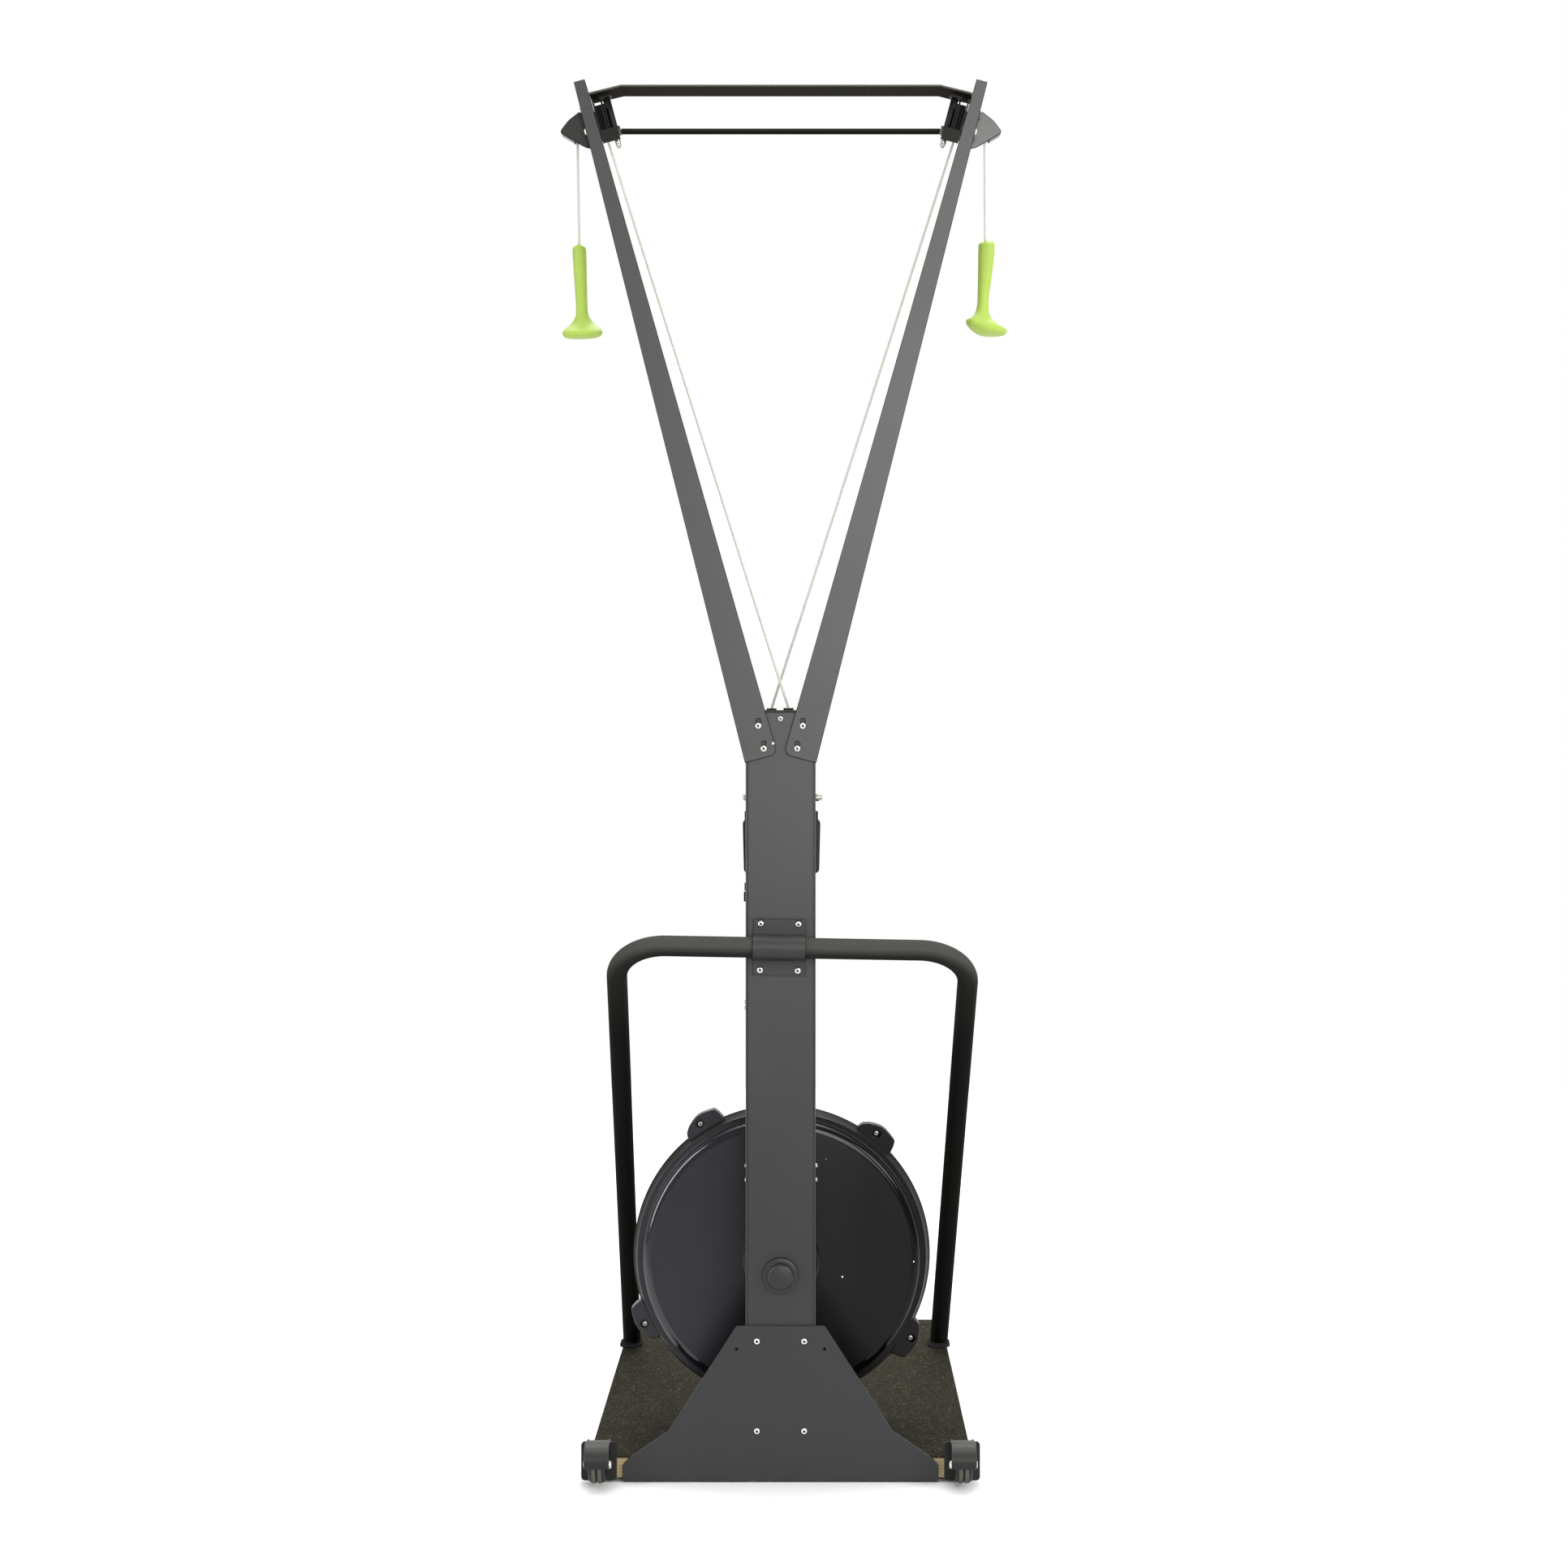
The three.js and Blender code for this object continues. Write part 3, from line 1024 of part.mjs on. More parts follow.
function makeFlywheel() {
  const at = [SHAFT.x, shaftZ];
  const shaftFront = shellFront - SHAFT.inset;
  piece('flywheel_shaft', rod('y', SHAFT.radius, SHAFT.rear, shaftFront, at, SMALL), steel);
  const [fanY, radius] = [discY + FAN.depth, discFlat - FAN.clear];
  const disc = turned('y', [
    [fanY, SHAFT.radius + GAP], [fanY, radius], [fanY + FAN.disc, radius],
    [fanY + FAN.disc, FAN.hub],
    [fanY + FAN.hubLength, FAN.hub], [fanY + FAN.hubLength, SHAFT.radius + GAP],
  ], FINE, at);
  const blades = [];
  const [bladeFrom, bladeTo] = [fanY + LAP, fanY + FAN.bladeDepth];
  for (let i = 0; i < FAN.blades; i += 1) {
    const from = radius - FAN.bladeLength;
    const blade = box(from, radius - LAP, bladeFrom, bladeTo, -FAN.blade / 2, FAN.blade / 2);
    blades.push(blade.rotateY((2 * Math.PI * i) / FAN.blades).translate(SHAFT.x, 0, shaftZ));
  }
  piece('fan_wheel', joined(disc, ...blades), fanMetal);
  const C = SHAFT_CAP;
  const face = C.radius - C.lip;
  const cap = turned('y', [
    [-C.height, 0], [-C.height, face - C.rim / 2], [-C.height + C.rim / 2, face], [-C.step, face],
    [-C.step, C.radius - C.rim / 2], [-C.step + C.rim / 2, C.radius], [-GAP, C.radius], [-GAP, 0],
  ], ROUND, at);
  piece('shaft_cap', cap, rubber);
  // The damper is a ring over the intake slots, turned by its lever
  const from = shellFront + GAP;
  const damperRadius = intakeOuter + DAMPER.margin;
  const plate = ring('y', SHELL.hub, damperRadius, from, from + DAMPER.sheet, [0, 0], FINE);
  const slots = intakeSlots(from - CUT, from + CUT + DAMPER.sheet).map(
    (slot) => slot.translate(-SHAFT.x, 0, -shaftZ),
  );
  const [halfLever, leverEnd] = [DAMPER.leverWidth / 2, damperRadius + DAMPER.lever];
  const lever = box(-halfLever, halfLever, from, from + DAMPER.sheet, damperRadius - CUT, leverEnd);
  const knob = rod('y', DAMPER.knob, from + LAP, from + DAMPER.knobHeight, [0, leverEnd], SMALL);
  const mesh = piece('damper', joined(cut(plate, ...slots), lever, knob), blackPlastic);
  mesh.position.set(SHAFT.x, 0, shaftZ);
}

// Monitor: a mount on the column's front, and a case that tilts on its pin
function makeMonitor() {
  const M = MONITOR;
  const [hingeY, hingeZ] = [monitorBack + MOUNT.hingeDepth, monitorTop + MOUNT.hingeRise];
  const hinge = [hingeY, hingeZ];
  const plateFrom = COLUMN.depth + GAP;
  const earTop = hingeZ + MOUNT.eye;
  const mountHalf = columnHalf + MOUNT.margin;
  const plate = box(
    -mountHalf, mountHalf, plateFrom, plateFrom + MOUNT.sheet, monitorTop - MOUNT.skirt, earTop,
  );
  // Each ear is an arm from the plate that ends in a round eye for the pin
  const ears = [-1, 1].flatMap((side) => {
    const xs = [side * mountHalf, side * (mountHalf - MOUNT.sheet)].sort((a, b) => a - b);
    return [
      box(xs[0], xs[1], plateFrom + LAP, hingeY, hingeZ - MOUNT.arm, earTop),
      rod('x', MOUNT.eye, xs[0], xs[1], hinge, SMALL),
    ];
  });
  const pin = rod('x', MOUNT.pin, -mountHalf + LAP, mountHalf - LAP, hinge, SMALL);
  piece('monitor_mount', joined(plate, ...ears, pin), blackPlastic);

  const half = monitorHalf;
  const bottom = monitorTop - M.height;
  const face = monitorBack + M.depth;
  const front = outline([
    [-half + M.taper, bottom, M.corner], [half - M.taper, bottom, M.corner],
    [half, monitorTop, M.corner], [-half, monitorTop, M.corner],
  ]);
  const reach = MOUNT.pin * 2;
  const bossOutline = rectangle(
    hingeY - reach, hingeY + reach, monitorTop - M.corner, hingeZ + reach, MOUNT.pin,
  );
  const boss = prism(bossOutline, 'x', -half / 2, half / 2);
  const bore = rod('x', MOUNT.pin + GAP, -half, half, hinge, SMALL);
  const screenHalf = half - M.screenSide;
  const [screenBottom, screenTop] = [bottom + M.screenLow, monitorTop - M.screenHigh];
  const recess = box(
    -screenHalf - GAP, screenHalf + GAP, face - M.screenDepth - GAP, face + CUT,
    screenBottom - GAP, screenTop + GAP,
  );
  const buttonX = half - M.buttonInset;
  const boreFrom = face - BUTTON.height - BUTTON.travel;
  const buttonBores = buttonZs.map(
    (z) => rod('y', BUTTON.radius + GAP, boreFrom, face + CUT, [buttonX, z]),
  );
  const body = joined(prism(front, 'y', monitorBack, face), boss);
  piece('monitor_case', cut(body, bore, recess, ...buttonBores), blackPlastic);
  const screenFrom = face - M.screenDepth;
  const screen = box(-screenHalf, screenHalf, screenFrom, face, screenBottom, screenTop);
  piece('monitor_screen', screen, glass);
  const buttonFace = face + BUTTON.travel;
  for (const [i, z] of buttonZs.entries()) {
    const button = rod('y', BUTTON.radius, buttonFace - BUTTON.height, buttonFace, [buttonX, z]);
    piece(`monitor_button_${i + 1}`, button, limePlastic);
  }
}

const topButtonZ = monitorTop - BUTTON.drop;
const buttonZs = Array.from({ length: BUTTON.count }, (_, i) => topButtonZ - i * BUTTON.spacing);

makePlatform();
makeColumn();
makeColumnCap();
for (const [name, side] of [['left', -1], ['right', 1]]) {
  makeArm(`arm_${name}`, side);
  const headY = -(GAP + ARM.sheet + GAP);
  piece(`arm_bolts_${name}`, boltGroup(armBolts(side), headY, COLUMN.wall + GAP), steel);
  makeHead(name, side);
  makeCaster(name, side);
}
makeCrossbars();
makeBasePlate();
makeHoop();
makeClamp();
makeDrums();
makeReturn();
makeCords();
makeHousing();
makeFlywheel();
makeMonitor();

// The origin goes to the floor under the middle of the machine's length
const rearmost = casterY - CASTER.wheel - CASTER.guardGap - CASTER.guard;
machine.position.y = -(rearmost + BOARD.depth) / 2;

export default machine;
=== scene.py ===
"""Looks of the ski machine: detailed pieces and procedural materials on the packed model."""
from itertools import groupby
from math import asin, atan2, ceil, copysign, cos, dist, pi, radians, sin, tan
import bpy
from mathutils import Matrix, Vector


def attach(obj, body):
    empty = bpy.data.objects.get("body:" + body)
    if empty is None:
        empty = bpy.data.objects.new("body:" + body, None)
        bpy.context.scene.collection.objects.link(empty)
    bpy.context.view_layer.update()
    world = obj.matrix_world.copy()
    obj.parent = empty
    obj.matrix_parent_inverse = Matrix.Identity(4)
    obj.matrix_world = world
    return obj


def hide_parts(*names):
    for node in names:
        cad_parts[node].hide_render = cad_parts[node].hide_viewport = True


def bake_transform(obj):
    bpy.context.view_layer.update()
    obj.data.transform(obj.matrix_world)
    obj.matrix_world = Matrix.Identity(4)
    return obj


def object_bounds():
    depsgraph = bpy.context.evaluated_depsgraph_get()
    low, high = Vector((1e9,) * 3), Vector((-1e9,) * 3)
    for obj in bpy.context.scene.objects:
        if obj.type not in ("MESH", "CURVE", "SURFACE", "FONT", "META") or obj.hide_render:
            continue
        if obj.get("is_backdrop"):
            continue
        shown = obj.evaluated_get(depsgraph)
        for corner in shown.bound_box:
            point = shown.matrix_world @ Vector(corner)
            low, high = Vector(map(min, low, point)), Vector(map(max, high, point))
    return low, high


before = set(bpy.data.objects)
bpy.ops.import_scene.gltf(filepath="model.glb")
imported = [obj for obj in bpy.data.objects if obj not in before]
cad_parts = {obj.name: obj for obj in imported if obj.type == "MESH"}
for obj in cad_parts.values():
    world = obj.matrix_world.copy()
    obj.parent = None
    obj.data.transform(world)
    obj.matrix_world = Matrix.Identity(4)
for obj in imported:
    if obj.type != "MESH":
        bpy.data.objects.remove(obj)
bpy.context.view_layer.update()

from types import SimpleNamespace as Sizes

import bmesh
import bpy
from mathutils import Matrix, Vector, noise

# Lengths below are millimetres in the working frame of the solids, where Y is 0 at the column's back.
# ROW moves them into the row frame, in metres.
SHIFT_Y = -483.85
ROW = Matrix.Scale(0.001, 4) @ Matrix.Translation((0, SHIFT_Y, 0))
SIDES = (("left", -1), ("right", 1))
LEFT, RIGHT, BACK, FRONT = (-1, 0, 0), (1, 0, 0), (0, -1, 0), (0, 1, 0)


# Camera: level, behind the machine on its wall side

CAMERA_AT = (0.044, -4.88385, 1.142)
CAMERA = Sizes(sensor_width=36, lens=65.59, shift_x=-0.01605, shift_y=-0.02795)
cam_data = bpy.data.cameras.new("camera")
for key, value in vars(CAMERA).items():
    setattr(cam_data, key, value)
cam = bpy.data.objects.new("camera", cam_data)
cam.location = CAMERA_AT
cam.rotation_euler = (radians(90), 0, 0)
bpy.context.scene.collection.objects.link(cam)
bpy.context.scene.camera = cam
bpy.context.scene.view_settings.view_transform = "Standard"


# Materials

class Shader:
    """A node tree with short ways to add what the materials and the world need."""

    def __init__(self, name, owner=None, end="Principled BSDF", **inputs):
        self.owner = owner or bpy.data.materials.new(name)
        self.owner.use_nodes = True
        self.nodes = self.owner.node_tree.nodes
        self.links = self.owner.node_tree.links
        self.end = self.nodes[end]
        for key, value in inputs.items():
            self.set(key.replace("_", " "), value)

    def put(self, socket, value):
        """Links an output to a socket, or sets the socket's own value."""
        if isinstance(value, bpy.types.NodeSocket):
            self.links.new(value, socket)
        else:
            socket.default_value = (*value, 1) if socket.type == "RGBA" else value

    def set(self, key, value):
        sockets = {s.name.lower(): s for s in self.end.inputs}
        self.put(sockets[key.lower()], value)

    def node(self, kind, **settings):
        node = self.nodes.new(kind)
        for key, value in settings.items():
            if hasattr(node, key):
                setattr(node, key, value)
            else:
                node.inputs[key.replace("_", " ")].default_value = value
        return node

    def coords(self, **settings):
        mapping = self.node("ShaderNodeMapping", **settings)
        self.links.new(self.node("ShaderNodeTexCoord").outputs["Object"], mapping.inputs["Vector"])
        return mapping.outputs["Vector"]

    def noise(self, scale, detail, roughness=0.5, stretch=(1, 1, 1)):
        node = self.node("ShaderNodeTexNoise", Scale=scale, Detail=detail, Roughness=roughness)
        self.links.new(self.coords(Scale=stretch), node.inputs["Vector"])
        return node.outputs["Fac"]

    def ramp(self, source, *stops):
        node = self.node("ShaderNodeValToRGB")
        ramp = node.color_ramp
        while len(ramp.elements) < len(stops):
            ramp.elements.new(0.5)
        for element, (place, color) in zip(ramp.elements, stops):
            element.position = place
            element.color = (*color, 1)
        self.links.new(source, node.inputs["Fac"])
        return node.outputs["Color"]

    def mix(self, share, a, b, blend="MIX"):
        node = self.node("ShaderNodeMix", data_type="RGBA", blend_type=blend)
        for index, value in ((0, share), (6, a), (7, b)):
            self.put(node.inputs[index], value)
        return node.outputs[2]

    def spread(self, source, low, high, start=0.0, end=1.0):
        node = self.node("ShaderNodeMapRange", From_Min=start, From_Max=end, To_Min=low, To_Max=high)
        self.links.new(source, node.inputs["Value"])
        return node.outputs["Result"]

    def math(self, operation, a, b=0.0):
        node = self.node("ShaderNodeMath", operation=operation)
        self.put(node.inputs[0], a)
        self.put(node.inputs[1], b)
        return node.outputs[0]

    def part(self, axis, vector=None):
        """One part of a vector, or else of the place on the piece, in metres."""
        node = self.node("ShaderNodeSeparateXYZ")
        self.links.new(vector or self.coords(), node.inputs[0])
        return node.outputs[axis]

    def line_across(self, place, half):
        """1 on the two upright lines this far from the piece's middle, and 0 beside them."""
        away = self.math("ABSOLUTE", self.part("X"))
        off = self.math("ABSOLUTE", self.math("SUBTRACT", away, place))
        return self.spread(off, 1.0, 0.0, half * 0.6, half)

    def painted_light_by_facing(self, color, below, above=1.0, turn=(0.15, -0.9)):
        """Painted shade and painted highlight: faces that look down keep one share of the colour, and faces
        that look up another.
        """
        height = self.part("Z", self.node("ShaderNodeNewGeometry").outputs["Normal"])
        for share, start, end in ((below, *turn), (above, 0.15, 0.9)):
            if share != 1:
                amount = self.spread(height, 0.0, 1.0, start, end)
                color = self.mix(amount, color, (share, share, share), "MULTIPLY")
        return color

    def bump(self, source, strength, distance, under=None, invert=False):
        node = self.node("ShaderNodeBump", Strength=strength, Distance=distance, invert=invert)
        self.links.new(source, node.inputs["Height"])
        if under:
            self.links.new(under, node.inputs["Normal"])
        return node.outputs["Normal"]

    def finish(self, color, roughness, normal):
        for key, value in (("Base Color", color), ("Roughness", roughness), ("Normal", normal)):
            self.set(key, value)
        return self.owner


def tinted(color, amount):
    return tuple(c * (1 + amount) for c in color)


def powder_coat(name, color, roughness, below=0.4, level=0.3, seam=None, above=1.0, turn=(0.15, -0.9),
                foot=None):
    """Fine-grained paint, with painted shade on faces that look down, by the share below, and a painted
    highlight on faces that look up, by the share above.

    A seam is a thin groove that runs up the piece: its distance from the middle, and its half. It is darkened
    with painted shade.
    A foot is painted shade on the low part: a share of the colour there, and the two heights between which it
    fades.
    """
    s = Shader(name, metallic=0.0, specular_ior_level=level)
    cloud = s.noise(6, 4)
    speck = s.noise(1400, 2)
    base = s.mix(cloud, tinted(color, -0.1), tinted(color, 0.1))
    base = s.painted_light_by_facing(s.mix(speck, base, tinted(color, 0.1)), below, above, turn)
    relief = s.bump(speck, 0.2, 0.0001, s.bump(s.noise(420, 2), 0.15, 0.0002))
    # Painted shade: the low part keeps only the foot's share of the colour, fading out between its two
    # heights.
    if foot:
        share, *heights = foot
        rise = s.spread(s.part("Z"), 0.0, 1.0, *heights)
        base = s.mix(1.0, base, s.mix(rise, (share, share, share), (1, 1, 1)), "MULTIPLY")
    # The seam's groove is darkened with painted shade.
    if seam:
        line = s.line_across(*seam)
        base = s.mix(line, base, tinted(color, -0.8))
        relief = s.bump(line, 0.8, 0.0012, relief, invert=True)
    return s.finish(base, s.spread(cloud, roughness - 0.05, roughness + 0.08), relief)


def moulded(name, color, roughness, coat=0.0, level=0.4, below=1.0, right=None):
    """Moulded plastic, with painted shade on faces that look down, by the share below. On a broad piece it
    may turn on the right to another, darker colour, painted shade, with less gloss.
    """
    s = Shader(name, specular_ior_level=level, coat_weight=coat, coat_roughness=0.12)

    def across(left_value, right_value):
        return s.spread(s.part("X"), left_value, right_value, -0.14, 0.14)

    base = s.mix(s.noise(9, 4), tinted(color, -0.12), tinted(color, 0.12))
    if right:
        base = s.mix(across(0.0, 1.0), base, right)
        s.set("Specular IOR Level", across(level, level * 0.55))
        s.set("Coat Weight", across(coat, 0.0))
    rough = s.spread(s.noise(35, 5), roughness - 0.04, roughness + 0.06)
    return s.finish(s.painted_light_by_facing(base, below), rough, s.bump(s.noise(900, 2), 0.12, 0.0001))


def bright_metal(name, color, roughness):
    s = Shader(name, metallic=1.0)
    base = s.mix(s.noise(120, 4), tinted(color, -0.15), tinted(color, 0.08))
    rough = s.spread(s.noise(700, 3), roughness - 0.08, roughness + 0.15)
    return s.finish(base, rough, s.bump(s.noise(1600, 2), 0.12, 0.0002))


def speckled_mat(name):
    s = Shader(name, specular_ior_level=0.05)
    crumbs = s.node("ShaderNodeTexVoronoi", Scale=380)
    s.links.new(s.coords(), crumbs.inputs["Vector"])
    flecks = s.ramp(crumbs.outputs["Color"], (0.0, (0.012, 0.0105, 0.0065)), (0.55, (0.024, 0.0215, 0.0135)),
                    (0.84, (0.046, 0.042, 0.029)), (0.96, (0.15, 0.145, 0.115)))
    patches = s.spread(s.noise(26, 5, 0.65), 0.0, 0.5, 0.35, 0.7)
    base = s.mix(patches, flecks, (0.015, 0.013, 0.008))
    return s.finish(base, s.spread(s.noise(60, 3), 0.8, 0.95), s.bump(crumbs.outputs["Distance"], 0.5, 0.001))


def plywood(name):
    s = Shader(name, specular_ior_level=0.3)
    plies = s.node("ShaderNodeTexWave", wave_type="BANDS", bands_direction="Z", Scale=62, Distortion=1.2,
                   Detail=3, Detail_Scale=4)
    s.links.new(s.coords(), plies.inputs["Vector"])
    grain = s.noise(90, 6, 0.6, (1, 0.12, 5))
    light, middle, dark = (0.38, 0.30, 0.155), (0.31, 0.24, 0.12), (0.20, 0.145, 0.07)
    base = s.ramp(plies.outputs["Fac"], (0.1, dark), (0.45, middle), (0.8, light))
    base = s.mix(grain, base, (0.34, 0.265, 0.14))
    return s.finish(base, s.spread(grain, 0.45, 0.7), s.bump(grain, 0.25, 0.0006))


def braided(name, color):
    """Cord fibres that cross at a slant."""
    s = Shader(name, sheen_weight=0.2, specular_ior_level=0.3)
    waves = []
    for turn in (38, -38):
        wave = s.node("ShaderNodeTexWave", Scale=260, Distortion=0.4)
        s.links.new(s.coords(Rotation=(0, radians(turn), 0)), wave.inputs["Vector"])
        waves.append(wave.outputs["Fac"])
    both = s.math("MULTIPLY", *waves)
    base = s.mix(both, tinted(color, -0.15), tinted(color, 0.06))
    return s.finish(base, s.spread(both, 0.65, 0.85), s.bump(both, 0.3, 0.0002))


def screen_glass(name):
    s = Shader(name, specular_ior_level=0.6, coat_weight=1.0, coat_roughness=0.05)
    smear = s.noise(25, 4)
    s.set("Base Color", s.mix(smear, (0.030, 0.040, 0.038), (0.050, 0.062, 0.056)))
    s.set("Roughness", s.spread(smear, 0.08, 0.2))
    return s.owner


# In these finishes the below share is painted shade on faces that look down, and the above share is a painted
# highlight on faces that look up.
M = {
    "frame": powder_coat("frame_coat", (0.042, 0.042, 0.041), 0.3, level=0.38),
    # The column: painted shade in its two seam grooves, and painted shade that darkens it towards the bottom.
    "column": powder_coat("column_coat", (0.044, 0.0445, 0.045), 0.34, level=0.34, seam=(0.0508, 0.0009),
                          foot=(0.56, 0.42, 1.05)),
    "clamp": powder_coat("clamp_coat", (0.029, 0.029, 0.028), 0.42),
    # Near-black for softened edges: painted shade along the outlines of the arms, clamp, base plate and
    # covers.
    "line": powder_coat("painted_edge_shade", (0.006, 0.006, 0.0055), 0.7, level=0.05),
    "base": powder_coat("base_coat", (0.0220, 0.0228, 0.0236), 0.45),
    # The hoop: painted shade on its underside and on its lower legs.
    "hoop": powder_coat("hoop_coat", (0.056, 0.0555, 0.051), 0.6, below=0.3, level=0.0, turn=(0.1, -0.6),
                        foot=(0.5, 0.68, 0.8)),
    # The top crossbar: painted shade underneath and a painted highlight on its top.
    "bar": powder_coat("bar_coat", (0.100, 0.095, 0.080), 0.6, below=0.3, level=0.0, above=1.2),
    "thin_bar": powder_coat("thin_bar_coat", (0.029, 0.0275, 0.0205), 0.6, level=0.0),
    "cover": powder_coat("cover_coat", (0.014, 0.0115, 0.008), 0.2, below=0.3, level=0.62),
    "edge": powder_coat("bracket_coat", (0.014, 0.0135, 0.0115), 0.42, below=0.3, level=0.1),
    "steel": bright_metal("zinc_steel", (0.74, 0.73, 0.69), 0.26),
    "stud": bright_metal("dull_steel", (0.34, 0.33, 0.30), 0.3),
    # Near-black steel inside sockets and slots: painted shade.
    "socket": bright_metal("painted_socket_shade", (0.05, 0.048, 0.045), 0.5),
    "machined": bright_metal("machined_metal", (0.60, 0.61, 0.62), 0.35),
    "black": moulded("black_plastic", (0.010, 0.010, 0.0105), 0.4, level=0.25),
    # Near-black: painted shade on the head's panel, under the crossbar and arm.
    "panel": moulded("painted_shade_panel", (0.004, 0.0045, 0.005), 0.5, level=0.02),
    # The housing and its rounding: on the right side a darker, warmer colour, painted shade; the housing also
    # has painted shade on faces that look down.
    "shell": moulded("shell_plastic", (0.0110, 0.0120, 0.0170), 0.3, level=0.35, below=0.6,
                     right=(0.0016, 0.0010, 0.0004)),
    "turned": moulded("shell_rounding", (0.005, 0.0055, 0.008), 0.1, 0.7, level=0.3,
                      right=(0.0016, 0.0010, 0.0004)),
    "rim": moulded("rim_plastic", (0.016, 0.0155, 0.014), 0.5, level=0.06),
    "roller": moulded("roller_plastic", (0.006, 0.006, 0.007), 0.45, level=0.2),
    "caster": moulded("caster_plastic", (0.022, 0.022, 0.019), 0.4, level=0.3, below=0.4),
    "cap": moulded("cap_rubber", (0.012, 0.012, 0.012), 0.4),
    "lid": moulded("lid_plastic", (0.020, 0.017, 0.013), 0.5, level=0.2),
    "side": moulded("wheel_side", (0.013, 0.0132, 0.013), 0.5, level=0.25),
    "tread": moulded("tread_rubber", (0.085, 0.083, 0.066), 0.75, level=0.2),
    "rubber": moulded("foot_rubber", (0.018, 0.018, 0.018), 0.8),
    "fan": moulded("fan_plastic", (0.10, 0.105, 0.11), 0.45),
    "lime": moulded("lime_grip", (0.345, 0.48, 0.08), 0.5, level=0.2),
    "cord": braided("cord_fibre", (0.66, 0.645, 0.58)),
    "elastic": braided("elastic_cord", (0.03, 0.03, 0.03)),
    "mat": speckled_mat("mat_rubber"),
    "wood": plywood("plywood"),
    "screen": screen_glass("screen"),
}


# Mesh helpers

def made(name, bm, material, replaces=None, body="frame", bevel=0.0, segments=2, sharp=38,
         second=None, third=None, shade_lined=False):
    """Turns bm, in millimetres in the working frame, into a piece on a body.

    When the last flag is set, the softened edges take the second material: near-black painted shade along the
    piece's edges.
    """
    bmesh.ops.transform(bm, matrix=ROW, verts=bm.verts)
    bmesh.ops.remove_doubles(bm, verts=bm.verts, dist=1e-7)
    bmesh.ops.recalc_face_normals(bm, faces=bm.faces)
    for face in bm.faces:
        face.smooth = True
    for edge in bm.edges:
        edge.smooth = len(edge.link_faces) == 2 and edge.calc_face_angle(0) < radians(sharp)
    mesh = bpy.data.meshes.new(name)
    bm.to_mesh(mesh)
    bm.free()
    ob = bpy.data.objects.new(name, mesh)
    bpy.context.scene.collection.objects.link(ob)
    for look in (material, second, third):
        if look:
            mesh.materials.append(M[look])
    if bevel:
        soften(ob, bevel, segments, sharp, shade_lined).harden_normals = True
    if replaces:
        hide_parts(replaces)
    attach(ob, body)
    return ob


def soften(ob, bevel, segments, sharp, shade_lined):
    """Rounds a piece's edges. When the flag is set they take its second material, near-black painted shade.
    """
    mod = ob.modifiers.new("edges", "BEVEL")
    mod.width = bevel * 0.001
    mod.segments = segments
    mod.limit_method = "ANGLE"
    mod.angle_limit = radians(sharp)
    mod.material = 1 if shade_lined else -1
    return mod


def dressed(node, material, bevel, line=None, full=False, segments=2):
    """A carried-over solid gets its material and softened edges, which may take a near-black material of
    their own: painted shade.

    In full the softened edges keep their width beside short edges too.
    """
    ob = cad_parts[node]
    ob.data.materials.clear()
    ob.data.materials.append(M[material])
    if line:
        ob.data.materials.append(M[line])
    ob.modifiers.new("weld", "WELD").merge_threshold = 1e-6
    flat = ob.modifiers.new("flat", "DECIMATE")
    flat.decimate_type = "DISSOLVE"
    flat.angle_limit = radians(0.5)
    soften(ob, bevel, segments, 40, bool(line)).use_clamp_overlap = not full


def fasteners(name, bm, replaces=None, material="steel", bevel=0.15):
    """Bolts or screws whose sockets are near-black: painted shade in the recess."""
    made(name, bm, material, replaces, bevel=bevel, second="socket")


def turns(count):
    """Evenly spaced angles round a circle."""
    return [2 * pi * k / count for k in range(count)]


def facing(axis, at):
    """Turns the local Z axis onto a direction and moves the origin to a place."""
    return Matrix.Translation(at) @ Vector(axis).to_track_quat("Z", "Y").to_matrix().to_4x4()


def lathe(bm, profile, matrix, segments, radius_at=None, second=(), third=()):
    """Revolves [place along the axis, radius] points about matrix's Z axis, and closes the ends.

    The stretches numbered in second and third take the piece's second and third material.
    """
    rings = []
    for i, (place, radius) in enumerate(profile):
        if radius < 1e-6:
            rings.append([bm.verts.new(matrix @ Vector((0, 0, place)))])
            continue
        ring = []
        for angle in turns(segments):
            r = radius_at(i, angle, radius) if radius_at else radius
            ring.append(bm.verts.new(matrix @ Vector((r * cos(angle), r * sin(angle), place))))
        rings.append(ring)
    closed = profile[0][1] > 1e-6 and profile[-1][1] > 1e-6
    for i, (a, b) in enumerate(zip(rings, rings[1:] + rings[:1] if closed else rings[1:])):
        for k in range(segments):
            n = (k + 1) % segments
            corners = [a[k % len(a)], a[n % len(a)], b[n % len(b)], b[k % len(b)]]
            face = bm.faces.new(list(dict.fromkeys(corners)))
            face.material_index = 1 if i in second else 2 if i in third else 0
    return bm


def mirrored(half, middle=0):
    """A whole profile from its first half, with places counted from the middle."""
    return [(middle - a, r) for a, r in half] + [(middle + a, r) for a, r in half[::-1] if a]


def arc(centre, radius, start, end, steps):
    """Points of an arc, in degrees, in a plane."""
    angles = [radians(start + (end - start) * i / steps) for i in range(steps + 1)]
    return [(centre[0] + radius * cos(a), centre[1] + radius * sin(a)) for a in angles]


PLANES = {
    "x": lambda u, v, w: (w, u, v),
    "y": lambda u, v, w: (u, w, v),
    "z": lambda u, v, w: (u, v, w),
}


